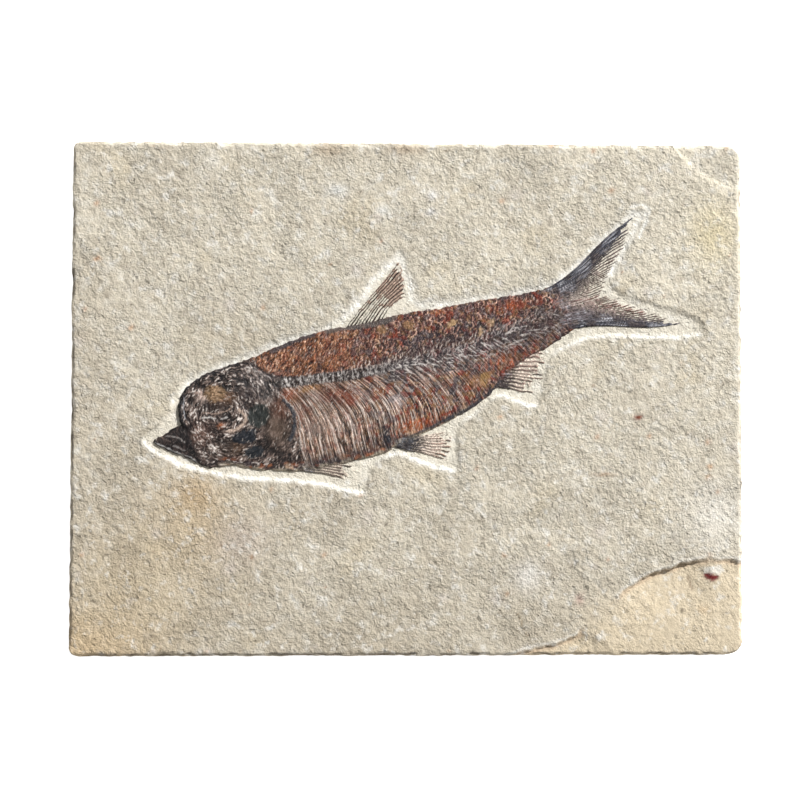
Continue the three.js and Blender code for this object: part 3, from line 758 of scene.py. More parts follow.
SLATE = [(-1, (30, 28, 32)), (0, (74, 66, 69)), (1, (156, 147, 148))]
OCHRE = [(-1, (60, 42, 26)), (0, (142, 104, 62)), (1, (210, 176, 126))]
SCUTES = [
    (0, (30, 27, 31)), (0.5, (70, 54, 58)), (0.65, (112, 64, 48)), (0.85, (172, 96, 50)),
    (1, (200, 170, 144)),
]
# Single sRGB colours of the fish
FISH_EDGE = (52, 44, 43)
BELLY_SHADE = (58, 50, 48)
TICK_ROW = (62, 32, 30)
SCUTE_STONE = (204, 190, 168)
FILM_STREAK = (190, 189, 195)
FILM_SHADE = (66, 54, 52)
# Patches of other hues over the flank: palette, size, seed and strength
HUES = [(MAROON, 2.2, 351, 0.9), (SLATE, 3.0, 357, 0.8), (OCHRE, 1.5, 363, 0.45)]

# Patches of colour on the fish: centre, radii, sRGB colour and strength
PATCHES = [
    ((18.2, 5.3), (2.4, 1.2), (128, 92, 64), 0.7),
    ((13.5, 6.7), (1.2, 0.9), (206, 182, 168), 0.85),
    ((13.0, 8.0), (0.8, 0.6), (186, 160, 146), 0.7),
    ((15.4, 4.0), (4.0, 1.0), (50, 40, 36), 0.85),
    ((23.3, 4.8), (2.2, 1.6), (46, 36, 36), 0.8),
    ((15.7, -0.4), (0.7, 0.6), (172, 108, 72), 0.8),
    ((10.6, -1.2), (3.0, 2.6), (112, 82, 70), 0.55),
    ((18.2, -6.1), (1.8, 1.6), (104, 80, 62), 0.7),
    ((29.7, 0.2), (1.6, 2.2), (116, 74, 58), 0.7),
    ((28.0, -4), (2.4, 4), (98, 80, 66), 0.5),
    ((27.0, 7.4), (4.4, 2.6), (112, 106, 106), 0.3),
    ((28.0, 3.4), (2.4, 1.6), (104, 98, 96), 0.4),
    ((14, -6), (5, 2), (84, 70, 62), 0.5),
    ((51.8, -11.3), (1.1, 3.4), (40, 42, 48), 1.2),
    ((55.9, -4.6), (1.6, 1.4), (212, 196, 192), 0.55),
    ((58, -11), (4, 1.2), (160, 92, 48), 0.35),
    ((45.5, -1.3), (2.2, 1.8), (138, 68, 46), 0.5),
    ((41.5, 0.4), (2.4, 1.4), (118, 56, 42), 0.45),
    ((33.5, 1.8), (2.4, 0.8), (160, 108, 68), 0.5),
    ((37, -2), (4, 2), (84, 70, 58), 0.5),
    ((34, -2.6), (1, 1.6), (160, 96, 70), 0.4),
    ((74.2, -4.5), (2.2, 1.4), (166, 116, 74), 0.5),
    ((82.2, -1.6), (3, 1.4), (160, 96, 60), 0.4),
    ((38, -5.8), (4.2, 2.6), (182, 158, 144), 0.45),
    ((36, 1.8), (8, 1.7), (78, 58, 48), 0.6),
    ((42, -14.4), (8, 1.1), (64, 58, 60), 0.65),
    ((32.6, 2.8), (1.5, 0.9), (150, 76, 50), 0.65),
    ((37.3, 2.9), (2.2, 0.6), (176, 128, 70), 0.55),
    ((58, 11.4), (9, 2), (120, 70, 52), 0.3),
    ((75, 11), (8, 2), (118, 68, 54), 0.25),
    ((68, 6.5), (9, 2.2), (52, 44, 48), 0.5),
    ((97, 8.2), (1, 0.8), (178, 140, 128), 0.6),
    ((86.5, 10.1), (2.4, 1.3), (160, 80, 46), 0.45),
    ((93, 5), (6, 4.5), (66, 50, 46), 0.5),
    ((70.3, 12.6), (2.2, 0.7), (150, 74, 46), 0.5),
]
# Crisp plates, as outlines with an sRGB colour and how flecked they are: the eye, dark films on the gill
# bones, tan flakes on the flank
PLATES = [
    ([(13.6, 7.4), (15.2, 9.0), (17.4, 8.6), (18.8, 7.0), (17.6, 5.4), (15.2, 5.2)], (134, 107, 80), 0.5),
    ([(23.4, 2.0), (26.6, 2.0), (27.0, -1.2), (24.6, -2.9), (22.5, -2.1), (22.1, 0)], (50, 54, 52), 0.2),
    (
        [(17.5, -3.3), (20.2, -2.7), (23.0, -3.0), (22.4, -5.8), (19.3, -5.5), (17.5, -4.6)],
        (32, 37, 44), 0.2,
    ),
    (
        [(19.8, -7.1), (22.2, -6.5), (24.0, -7.8), (23.0, -9.2), (20.9, -9.5), (19.5, -8.2)],
        (32, 37, 42), 0.2,
    ),
    ([(70.9, 9.0), (72.2, 10.2), (73.8, 10.0), (72.6, 9.0), (71.6, 8.6)], (166, 136, 100), 0.4),
    ([(79.9, 7.9), (81.8, 8.4), (81.5, 7.2), (80.8, 6.6)], (170, 142, 112), 0.4),
    ([(77.6, 5.2), (77.9, 6.8), (78.6, 7.0), (78.5, 5.6)], (166, 138, 108), 0.4),
    ([(75.2, -4.4), (76.4, -3.0), (77.8, -3.4), (77.4, -5.2), (76.0, -5.8)], (158, 122, 78), 0.4),
    ([(55.6, 12.6), (57.0, 13.2), (57.8, 11.8), (56.8, 10.8), (55.4, 11.4)], (138, 104, 74), 0.5),
    ([(61.2, 11.8), (63.0, 12.4), (64.0, 11.0), (62.4, 10.2)], (140, 106, 76), 0.5),
]
# Lines on the fish: points, width, height and sRGB colour
LINES = [
    ([(10.6, 10.4), (8.6, 8.2), (7.6, 5.7), (7.3, 2.8), (7.7, 1.6)], 1.1, 0.12, (20, 21, 26)),
    ([(9.2, 7.8), (8.5, 5.6), (8.3, 3.2)], 0.25, 0.08, (150, 150, 154)),
    (
        [(10.2, 10), (12.2, 10.8), (15.1, 11.5), (18.0, 11.7), (21.1, 12.3), (23.2, 12.6)],
        0.5, 0.04, (46, 43, 46),
    ),
    ([(25.9, 11.8), (27.4, 9.8), (29.8, 7.7), (32.5, 6.9)], 0.5, -0.08, (44, 38, 40)),
    ([(25.5, 11.3), (27.0, 9.4), (29.3, 7.3)], 0.3, 0.08, (146, 138, 134)),
    ([(12.1, 2.3), (13.8, 2.0), (14.9, 1.5)], 0.4, 0.1, (196, 190, 184)),
    ([(16.2, 1.0), (17.6, 1.1)], 0.4, 0.1, (188, 182, 178)),
    ([(12.6, 3.6), (14.6, 2.7), (17.6, 2.5), (19.4, 3.2)], 0.3, 0.06, (158, 136, 122)),
    ([(20.6, 2.1), (21.7, 0.1), (20.6, -1.4), (18.6, -2.1), (16.9, -2.0)], 0.75, 0.1, (184, 162, 146)),
    ([(31.0, 1.8), (32.2, -0.5), (32.4, -3.2), (31.5, -5.6), (30.2, -7.3)], 0.9, 0.14, (52, 56, 63)),
    (
        [(29.9, 4.2), (31.5, 1.9), (33.1, -1.6), (33.3, -4.6), (32.2, -8.9), (32.6, -12.4)],
        0.3, 0.08, (168, 156, 148),
    ),
    ([(0.3, -0.5), (2.5, -2.3), (4.7, -4.0), (6.9, -5.4), (8.5, -7.3)], 0.32, 0.06, (176, 174, 172)),
    ([(3.2, 0.3), (5.3, -0.5), (6.9, -2.1)], 0.28, 0.05, (138, 132, 128)),
    ([(4.2, -2.2), (5.2, -2.9), (6.4, -4)], 0.28, 0.05, (120, 116, 114)),
    ([(62, -12.4), (65, -11.6), (67.4, -11.2)], 0.8, 0.04, (50, 52, 58)),
    ([(68.6, -10.9), (72, -10), (74.4, -9)], 0.8, 0.04, (50, 52, 58)),
    ([(75.6, -8.4), (77.6, -7.4), (80, -5.8)], 0.6, 0.04, (50, 52, 58)),
    ([(55, -13.4), (59, -12.8), (63, -12)], 0.6, 0.04, (74, 68, 68)),
    ([(31, 13.1), (34, 13.7), (37.5, 14.3), (41, 14.6)], 1.1, 0.03, (60, 57, 62)),
    ([(44.5, 14.6), (48.5, 14.3), (52.5, 13.8), (56.5, 13.5), (60, 13.8)], 1.3, 0.02, (84, 78, 75)),
]

# Where things lie along the fish, as the x between which they fade in and, if they do, out again
BACKBONE_ALONG = ((29, 32), (58, 68))
SPINES_ALONG = ((50, 60), (94, 100))
TICKS_ALONG = ((42, 52), (76, 84))
SCUTES_ALONG = ((12, 15), (66, 74))
REAR_FROM = (42, 60)
SCALE_RIMS_FROM = (35, 62)
RED_RIBS_FROM = (44, 54)
SCALES_BEHIND_RIBS = (58, 72)
BELLY_SHADE_UNTIL = (50, 58)
LEVEL_SPINES_FROM = (76, 92)
TAIL_FROM = (95.5, 100.5)
FREE_RAYS_FROM = (95, 100)
JAW_UNTIL = 9.5
EYE_CENTRE = (17, 2.5)
GILL_COVER = ((27.5, -4.5), (5, 7.5))
# Where rusty scales stand upright in rows: centre and radii
RUSTY_SCALES = [((57.5, -11.0), (6, 1.8)), ((82.5, -1.6), (5, 1.8)), ((86, 10), (4.5, 1.3))]

# How far back each rib sweeps, and over what fall, read along the backbone
RIB_PLACES = (26, 32, 38, 46, 54, 64, 80, 100)
RIB_SWEEPS = (3.5, 4.5, 6, 6.5, 7, 7, 7, 7)
RIB_FALLS = (12, 12, 12, 12, 12, 17, 18, 14)
RIB_PITCH = 1.45
DISC_PITCH = 1.45
SCALE_PITCH = (1.5, 1.45)
BONE_STRETCH = 5
LEAST_FLECKED = 0.15

# How strokes lean and how far single ones stray from that
UPRIGHT = math.radians(90)
SCALE_LEAN = math.radians(52)
BONE_LEAN = math.radians(35)
TICK_LEAN = math.radians(65)
DISC_LEAN = math.radians(78)
SCUTE_LEAN = -0.2
STROKE_SPREAD = math.radians(50)
BONE_SPREAD = math.radians(6)

# Scattered strokes: the cell that holds one, its length and its width
SCALE_STREAKS = [(0.85, 1.5, 0.42), (0.55, 0.9, 0.26)]
SKULL_STREAKS = [(1.1, 2.0, 0.4), (0.6, 1.1, 0.24)]
RIB_FIBRES = [(0.5, 0.95, 0.2), (0.36, 0.6, 0.16)]
RIB_HAIR = (0.75, 1.3, 0.2)
DISC_TICK = (0.6, 1.7, 0.22)
SPINE_SIZES = [(1.4, 2.8, 0.28), (0.9, 1.6, 0.24)]
BACK_TICK = (0.75, 1.3, 0.24)
RUSTY_SCALE = (0.95, 1.9, 0.5)
SCUTE_SIZES = [(2.4, 2.6, 1.5), (1.3, 1.5, 0.7)]
GLINT_FLECK = (0.8, 0.8, 0.2)
# Their inks, a dark one and then a pale one: sRGB colour, strength, and the lots where it begins and
# is full
RIB_INKS = [((26, 20, 20), 1.0, (0.35, 0.25)), ((220, 202, 190), 1.0, (0.6, 0.7))]
DISC_INKS = [((32, 28, 30), 0.8, (0.35, 0.25)), ((200, 193, 188), 0.65, (0.6, 0.7))]
SPINE_INKS = [((30, 26, 28), 0.8, (0.3, 0.2)), ((208, 200, 194), 0.85, (0.6, 0.7))]
TICK_INKS = [((24, 18, 20), 0.9, (0.3, 0.2)), ((216, 198, 186), 0.9, (0.5, 0.6))]
RUST_INKS = [((38, 23, 23), 0.8, (0.3, 0.2)), ((166, 80, 42), 0.85, (0.4, 0.5))]
GLINT_INKS = [((214, 202, 192), 0.45, (0.75, 0.9))]


def strokes(x, y, size, lean, seed, spread=STROKE_SPREAD):
    """Short strokes scattered one to a cell: how strongly each point lies on one, and the stroke's lot."""
    cell, length, width = size
    strength, lot = np.zeros(x.shape), np.full(x.shape, 0.5)
    ix, iy = np.floor(x / cell), np.floor(y / cell)
    for dx, dy in product((-1, 0, 1), repeat=2):
        cx, cy = ix + dx, iy + dy
        u = x - (cx + hashed(cx, cy, seed)) * cell
        v = y - (cy + hashed(cx, cy, seed + 1)) * cell
        turn = lean + spread * (hashed(cx, cy, seed + 2) - 0.5)
        along = np.abs(u * np.cos(turn) + v * np.sin(turn)) / (length / 2)
        aside = np.abs(v * np.cos(turn) - u * np.sin(turn)) / (width / 2)
        mark = (1 - smoothstep(0.5, 1, along)) * (1 - smoothstep(0.5, 1.2, aside))
        on_top = mark > strength
        strength = np.where(on_top, mark, strength)
        lot = np.where(on_top, hashed(cx, cy, seed + 3), lot)
    return strength, lot


def paint_strokes(tint, where, marks, inks):
    """Paints scattered strokes where a mask says, and gives back where each ink went."""
    strength, lot = marks
    masks = [where * strength * smoothstep(*lots, lot) for _, _, lots in inks]
    for mask, (colour, share, _) in zip(masks, inks):
        paint(tint, share * mask, colour)
    return masks


def streaks(x, y, lean, seed, sizes, spread=STROKE_SPREAD):
    """Layers of crossing strokes, from about -1 on the darkest to 1 on the palest."""
    tone = 0.25 * cloud(x, y, 0.55, seed, 2)
    for k, size in enumerate(sizes):
        mark, lot = strokes(x, y, size, lean, seed + 10 * k, spread)
        tone += mark * (2.4 * lot - 1.3)
    return tone


def scale_tones(x, y):
    """Broken overlapping scales in rows, each with a pale rim and a dark gap behind it."""
    wx = x + 0.35 * cloud(x, y, 2, 105, 2)
    wy = y + 0.35 * cloud(x, y, 2, 107, 2)
    row = wy / SCALE_PITCH[1]
    column = wx / SCALE_PITCH[0] + 0.5 * (np.floor(row) % 2)
    reach = np.hypot((column % 1) - 0.2, 0.95 * ((row % 1) - 0.5))
    lot = hashed(np.floor(column), np.floor(row), 109)
    rim = (1.1 * lot - 0.1) * bell(reach - 0.48, 0.11) - 0.8 * bell(reach - 0.7, 0.12)
    crossing = streaks(x, y, SCALE_LEAN, 111, SCALE_STREAKS)
    rear = smoothstep(*SCALE_RIMS_FROM, x)
    return (0.85 - 0.4 * rear) * crossing + 0.3 * cloud(x, y, 3, 101, 2) + 1.2 * rim * rear


def rib_start(x, fall):
    """Where the bone through each point leaves the backbone."""
    start = x.copy()
    for _ in range(8):
        reach = np.clip(fall / np.interp(start, RIB_PLACES, RIB_FALLS), 0, 1.15)
        start = x - np.interp(start, RIB_PLACES, RIB_SWEEPS) * (2 * reach - reach**2)
    return start


def rib_strokes(start, fall, size, seed):
    """Strokes that run down along the ribs."""
    return strokes(start, fall / BONE_STRETCH, size, UPRIGHT, seed, BONE_SPREAD)


def rib_tones(start, fall):
    """Long thin bones, broken here and there, with finer fibres between them."""
    phase = start / RIB_PITCH + 0.35 * cloud(start, fall, 6, 121, 2)
    place = phase % 1 - 0.5
    lot = hashed(np.floor(phase), 0 * phase, 127)
    wear = smoothstep(-0.9, 0.3, cloud(start, fall, 3.5, 129, 2))
    # Each bone is a pale line with a dark line beside it, partly the dark stone between the bones and
    # partly painted shadow.
    tone = wear * ((0.3 + 1.0 * lot) * bell(place + 0.08, 0.08) - 0.9 * bell(place - 0.1, 0.1))
    for size, seed in zip(RIB_FIBRES, (131, 137)):
        mark, lot = rib_strokes(start, fall, size, seed)
        tone += mark * (1.5 * lot - 0.85)
    return tone


def disc_tones(x, aside):
    """The backbone's discs, pale with dark gaps."""
    joint = (x + 0.35 * aside) / DISC_PITCH + 0.3 * cloud(x, aside, 1.8, 163, 2)
    gap = np.abs(joint % 1 - 0.5) * 2
    return (0.8 - 1.7 * gap**2) * (0.2 + 0.9 * hashed(np.floor(joint), 0 * joint, 161)) - 0.05


def skull_tones(x, y):
    """Crushed bones as streaks that bend round the eye."""
    turn = np.arctan2(y - EYE_CENTRE[1], x - EYE_CENTRE[0]) + UPRIGHT
    bent = streaks(x, y, turn, 171, SKULL_STREAKS, 1.7 * STROKE_SPREAD)
    cover = blob(x, y, *GILL_COVER)
    return 0.9 * bent * (1 - 0.75 * cover) + 0.6 * cloud(x, y, 3.2, 178, 2) * (1 - 0.5 * cover) - 0.22


def round_eye(x, y):
    """Coordinates away from the eye and round it, the second one squeezed."""
    u, v = x - EYE_CENTRE[0], y - EYE_CENTRE[1]
    return np.stack([np.hypot(u, v), 2.4 * np.arctan2(v, u)], axis=-1)


def leaning(x, y, lean, stretch):
    """Coordinates across and along a lean, the second one squeezed."""
    across = y * np.cos(lean) - x * np.sin(lean)
    along = x * np.cos(lean) + y * np.sin(lean)
    return np.stack([across, along / stretch], axis=-1)


# The fish, painted step by step on its own grid
def fish_fields():
    """The fields of the fish, in its own frame, that its colours and heights are worked out from."""
    (x0, y0), (x1, y1) = FISH_BOX
    x, y = np.meshgrid(np.arange(x0, x1, FISH_CELL), np.arange(y0, y1, FISH_CELL))
    grit = cloud(x, y, 0.7, 141, 2)
    outline = np.vstack([smooth(BACK, BODY_STEPS), smooth(BELLY, BODY_STEPS)[::-1]])
    ragged = 0.24 * cloud(x, y, 1.0, 131, 2) + 0.15 * cloud(x, y, 3, 135, 2) + 0.12
    jaw = depth_inside(x, y, smooth_loop(JAW, JAW_STEPS)[:-1])
    fall = read_off(BACKBONE, x) - y
    start = rib_start(x, np.maximum(fall, 0))
    scales = scale_tones(x, y)
    bones = rib_tones(start, fall) + 0.25 * grit + 0.3 * cloud(x, y, 4, 145, 2)
    low = smoothstep(-0.6, 0.6, fall - 0.8 + 0.5 * grit)
    return SimpleNamespace(
        x=x, y=y, grit=grit, fall=fall, start=start, scales=scales, bones=bones, low=low,
        tones=scales + (bones - scales) * low,
        skull=skull_tones(x, y),
        belly=read_off(BELLY, x),
        rear=smoothstep(*REAR_FROM, x + 3 * cloud(x, y, 5, 155, 2)),
        body=depth_inside(x, y, outline) + ragged,
        jaw=jaw + 0.25 * cloud(x, y, 1.1, 137, 2),
        height=0.09 * scales * (1 - low) + 0.1 * bones * low,
        flecked=np.full(x.shape, 0.75),
        flow=leaning(x, y, SCALE_LEAN, 2.2),
    )


def lay_fibres(field, where, flow):
    """Sets the coordinates that the fine fibres follow, over part of the fish."""
    field.flow = np.where(where[..., None], flow, field.flow)


def paint_scales(field):
    """The scaly flank, browner in front and darker behind."""
    field.tint = ramp(field.scales, UPPER_FRONT)
    paint(field.tint, field.rear, ramp(2.0 * field.scales - 0.1, UPPER_REAR))


def paint_ribs(field):
    """The ribs below the backbone, which give way to scales towards the tail."""
    x, y, start, fall, bones = field.x, field.y, field.start, field.fall, field.bones
    tint = ramp(1.5 * bones, RIBS_FRONT)
    reddish = smoothstep(*RED_RIBS_FROM, start)
    reddish += 0.75 * smoothstep(9, 4, fall + 3 * cloud(x, y, 3, 149, 2))
    paint(tint, reddish, ramp(1.5 * bones, RIBS_REAR))
    scaly = smoothstep(*SCALES_BEHIND_RIBS, x - 0.4 * fall + 4 * cloud(x, y, 4, 157, 2))
    paint(tint, 0.9 * scaly, ramp(1.5 * field.scales + 0.2 * bones - 0.2, UPPER_REAR))
    for seed in (143, 147):
        hairs = rib_strokes(start, fall, RIB_HAIR, seed)
        dark, pale = paint_strokes(tint, 1 - 0.85 * scaly, hairs, RIB_INKS)
        field.flecked -= 0.5 * (dark + pale) * (fall > 0)
    paint(field.tint, field.low, tint)
    lay_fibres(field, field.low > 0.5, np.stack([start, fall / (2 * BONE_STRETCH)], axis=-1))


def paint_hues(field):
    """Patches of other hues over the flank, fewer in front, and the shade above the belly."""
    x, y = field.x, field.y
    for palette, size, seed, strength in HUES:
        patch = smoothstep(0.2, 0.45, cloud(x, y, size, seed, 2))
        paint(field.tint, strength * patch * (0.4 + 0.6 * field.rear), ramp(0.7 * field.tones, palette))
    shade = smoothstep(4.5, 0.5, y - field.belly + field.grit) * (1 - smoothstep(*BELLY_SHADE_UNTIL, x))
    paint(field.tint, 0.65 * shade, BELLY_SHADE)


def paint_backbone(field):
    """The pale discs of the backbone, with ticks across them."""
    x, grit, aside = field.x, field.grit, -field.fall
    discs = disc_tones(x, aside) + 0.8 * grit
    begin, end = BACKBONE_ALONG
    column = 1 - smoothstep(0.95, 1.45, np.abs(aside) + 0.3 * grit)
    column *= smoothstep(*begin, x) * (1 - smoothstep(*end, x + 3 * grit))
    paint(field.tint, 0.95 * column, ramp(1.7 * discs - 0.55, SPINE))
    field.height += column * (0.1 + 0.1 * discs - field.height)
    ticks = strokes(x, field.y, DISC_TICK, DISC_LEAN, 173, 0.4 * STROKE_SPREAD)
    paint_strokes(field.tint, column, ticks, DISC_INKS)


def paint_spines(field):
    """The thin pale spines on dark stone that the backbone breaks up into behind the ribs."""
    x, y, aside = field.x, field.y, -field.fall
    lean = np.where(aside > 0, BONE_LEAN, -BONE_LEAN) * (1 - 0.8 * smoothstep(*LEVEL_SPINES_FROM, x))
    band = bell(aside + 1.0, 2.6) * span(x, *SPINES_ALONG)
    paint(field.tint, 0.75 * band, ramp(1.1 * field.tones - 0.1, SLATE))
    for size, seed in zip(SPINE_SIZES, (165, 167)):
        spines = strokes(x, y, size, lean, seed, 1.4 * STROKE_SPREAD)
        _, pale = paint_strokes(field.tint, band, spines, SPINE_INKS)
        field.flecked -= 0.5 * pale
        field.height += 0.06 * band * spines[0]
    lay_fibres(field, band > 0.5, leaning(x, y, lean, 2.5))


def paint_ticks(field):
    """A row of dark and pale ticks that stands on the backbone, and rusty scales in upright rows."""
    x, y = field.x, field.y
    row = bell(-field.fall - 1.7, 1.0) * span(x, *TICKS_ALONG)
    paint(field.tint, 0.6 * row, TICK_ROW)
    _, pale = paint_strokes(field.tint, row, strokes(x, y, BACK_TICK, TICK_LEAN, 169), TICK_INKS)
    field.flecked = np.maximum(field.flecked - 0.5 * pale, LEAST_FLECKED)
    rusty = sum(blob(x, y, *place) for place in RUSTY_SCALES)
    upright = strokes(x, y, RUSTY_SCALE, DISC_LEAN, 175, 0.5 * STROKE_SPREAD)
    paint_strokes(field.tint, rusty, upright, RUST_INKS)


def paint_head(field):
    """The crushed skull in front of the nape, and the dark edge all round the fish."""
    x, y, skull = field.x, field.y, field.skull
    head = smoothstep(-0.8, 0.8, np.interp(y, *np.array(NAPE).T) - x + 0.8 * field.grit)
    paint(field.tint, head, ramp(1.8 * skull + 0.05, SKULL))
    lay_fibres(field, head > 0.5, round_eye(x, y))
    field.flecked += head * (0.5 - 0.25 * blob(x, y, *GILL_COVER) - field.flecked)
    field.height += head * (0.13 * skull + 0.12 * cloud(x, y, 3, 179, 2) - field.height)
    paint(field.tint, 0.4 * bell(field.body - 0.1, 0.35), FISH_EDGE)


def paint_scutes(field):
    """Small dark and rusty scutes in cream stone along the throat and belly."""
    x, y = field.x, field.y
    along = span(x, *SCUTES_ALONG)
    above = y - field.belly + 0.4 * cloud(x, y, 2, 201, 2)
    paint(field.tint, 0.85 * bell(above - 0.1, 0.5) * along, SCUTE_STONE)
    row = smoothstep(0, 0.4, above) * bell(above - 0.7, 0.9) * along
    for size, seed in zip(SCUTE_SIZES, (205, 215)):
        plates, lot = strokes(x, y, size, SCUTE_LEAN, seed)
        paint(field.tint, 0.9 * plates * row, ramp(lot, SCUTES))


def paint_patches(field):
    """The listed patches and plates, with wavering edges."""
    skull = field.skull
    wavering = (field.x + 0.4 * field.grit, field.y + 0.4 * cloud(field.x, field.y, 0.9, 181, 2))
    mottle = 1 - 0.45 * smoothstep(0.2, 1.0, np.abs(skull))
    for spot, radii, colour, strength in PATCHES:
        paint(field.tint, 1.1 * strength * mottle * blob(*wavering, spot, radii), colour)
    shade = (1 + 0.4 * np.clip(skull, -1, 1))[..., None]
    for outline, colour, texture in PLATES:
        plate = smoothstep(-0.3, 0.4, depth_inside(*wavering, smooth_loop(outline, 48)[:-1]))
        paint(field.tint, 0.95 * plate, linear(colour) * shade)
        field.flecked += (texture - field.flecked) * plate


def paint_jaw(field):
    """The black lower jaw that juts out in front of the skull, and pale flecks over all the rest, painted
    as glints on the glossy bone.
    """
    x, y, jaw = field.x, field.y, field.jaw
    black = smoothstep(0, 0.5, jaw) * smoothstep(0, 0.8, JAW_UNTIL - x + 0.3 * y)
    mask = np.where(field.body < 0.2, 1, 0.8 * black) * (jaw > -0.5)
    paint(field.tint, mask, ramp(0.7 * field.skull - 0.62, SKULL))
    field.flecked *= 1 - 0.6 * black
    # Painted highlights: pale flecks stand for glints on the glossy scales and bone.
    flecks = strokes(x, y, GLINT_FLECK, SCALE_LEAN, 185)
    paint_strokes(field.tint, 1 - 0.8 * black, flecks, GLINT_INKS)


def raised(height, mask):
    """A height above the hollow's floor where the mask is full, and sunk in the stone where it is empty."""
    return SUNK + (height - SUNK) * mask


def raise_body(field):
    """Heights of the domed body and of the jaw, with the lines drawn on them."""
    x, y, grit = field.x, field.y, field.grit
    share = np.clip((y - field.belly) / (read_off(BACK, x) - field.belly), 0, 1)
    crest = np.interp(x, *np.array(CREST).T)
    dome = RIM + (crest - RIM) * np.sqrt(4 * share * (1 - share))
    z = raised(dome + field.height, smoothstep(-0.15, 0.3, field.body))
    jaw_height = 0.35 + 0.4 * np.sqrt(np.clip(field.jaw / 3, 0, 1)) + 0.06 * grit
    z = np.maximum(z, raised(jaw_height, smoothstep(-0.15, 0.3, field.jaw)))
    for points, width, rise, colour in LINES:
        mark = stroke(x + 0.15 * grit, y + 0.15 * grit, smooth(points, 5 * len(points)), width)
        paint(field.tint, 0.85 * mark, colour)
        z += rise * mark * (z > 0)
    field.z = z


# Fins
def fan(fin, shape):
    """Where the fish's grid lies in a fin: across from the leading ray, along the rays, and if at all."""
    count, steps = FAN_SAMPLES
    roots, tips = smooth(fin.root, count - 1), smooth(fin.tips, count - 1)
    place = np.linspace(0, 1, count)
    reach = tips - roots
    aside = np.stack([-reach[:, 1], reach[:, 0]], axis=1) / np.hypot(*reach.T)[:, None]
    bow = np.interp(place, (0, 1), fin.bend)
    sway = fin.sway * (1 - place)
    across, along = np.meshgrid(place, np.linspace(0, 1, steps))
    shift = 4 * bow * along * (1 - along) + sway * np.sin(2 * np.pi * along)
    spots = roots + reach * along[..., None] + aside * shift[..., None]
    column, row = np.rint((spots - FISH_BOX[0]) / FISH_CELL).astype(int).reshape(-1, 2).T
    cell = row * shape[1] + column
    size = shape[0] * shape[1]
    hits = np.bincount(cell, minlength=size)
    sums = (np.bincount(cell, value.ravel(), size) for value in (across, along))
    across, along = ((total / np.maximum(hits, 1)).reshape(shape) for total in sums)
    return across, along, (hits > 0).reshape(shape)


def fin_rays(field, fin, seed):
    """A fin's rays, closed in the film near their roots and open further out, and the web between them."""
    x, y, grit = field.x, field.y, field.fin_grit
    across, along, here = fan(fin, x.shape)
    phase = fin.rays * across + 0.25 * cloud(x, y, 2.5, 210 + seed, 2)
    number = np.floor(phase)
    lot = hashed(number, 0 * number, 220 + seed)
    middle = np.abs(phase % 1 - 0.5) * 2
    film = fin.film[1] + (fin.film[0] - fin.film[1]) * (1 - across) ** 1.4
    opened = smoothstep(film - 0.1, film + 0.25, along + 0.1 * grit)
    width = CLOSED + (fin.share * (0.7 + 0.6 * lot) - CLOSED) * opened
    tip = 1.03 - fin.fray * lot * (number > 0)
    mark = (1 - smoothstep(width - 0.25, width + 0.25, middle)) * smoothstep(tip + 0.02, tip - 0.05, along)
    start, end = fin.web_span
    ragged = along + 0.25 * cloud(x, y, 1.2, 260 + seed, 2)
    web = span(ragged, (start - 0.2, start + 0.1), (end - 0.25, end)) * opened
    streak = noise(2.1 * phase, 5 * along, 230 + seed) + 0.6 * noise(5.3 * phase, 11 * along, 240 + seed)
    return SimpleNamespace(
        across=across, along=along, phase=phase, middle=middle, film=film, opened=opened, streak=streak,
        mark=mark * field.free * here, web=web * field.free * here,
    )


def ray_colours(fin, rays):
    """Colours from the leading to the trailing rays and out to the opened ones, streaked along them."""
    lead, trail, end = (linear(colour) for colour in fin.colours)
    colour = lead + (trail - lead) * rays.across[..., None]
    colour += (end - colour) * smoothstep(0, 0.5, rays.along - rays.film)[..., None]
    groove = (1 - rays.opened) * smoothstep(0.6, 1, rays.middle)
    return colour * np.clip((1 + 0.8 * rays.streak) * (1 - 0.45 * groove), 0.25, 2.2)[..., None]


def paint_film(field, rays, seed):
    """Pale streaks and brown clouds on the film that closes the rays."""
    phase, along, closed = rays.phase, rays.along, rays.mark * (1 - rays.opened)
    pale = 0.7 * smoothstep(0.1, 0.6, noise(0.9 * phase, 3 * along, 250 + seed))
    pale = np.maximum(pale, smoothstep(0.25, 0.5, noise(2.6 * phase, 3 * along, 255 + seed)))
    mottle = cloud(field.x, field.y, 4, 265 + seed, 2)
    paint(field.tint, 0.85 * pale * smoothstep(-0.35, 0.35, mottle) * closed, FILM_STREAK)
    paint(field.tint, 0.6 * smoothstep(0, 0.6, -mottle) * closed, FILM_SHADE)


def add_fin(field, fin, seed):
    """Adds one fin's web and rays to the fish's colours, heights and fibres."""
    rays = fin_rays(field, fin, seed)
    mark, web, grit = rays.mark, rays.web, field.fin_grit
    outside = field.z < 0
    cover = np.where(outside, np.maximum(web, web > BARE), field.tail * web)
    paint(field.tint, cover, linear(fin.web) * (1 + 0.3 * grit[..., None]))
    cover = np.where(outside, 1, 0.6 + 0.4 * field.tail) * mark
    cover = np.where(outside & (web < BARE), np.maximum(mark, mark > BARE), cover)
    paint(field.tint, cover, ray_colours(fin, rays))
    paint_film(field, rays, seed)
    field.z = np.maximum(field.z, raised(WEB_HEIGHT, web))
    field.z = np.maximum(field.z, raised(RAY_HEIGHT + 0.06 * grit + 0.05 * rays.streak, mark))
    lay_fibres(field, mark > 0.3, np.stack([0.35 * rays.phase, 2 * rays.along], axis=-1))


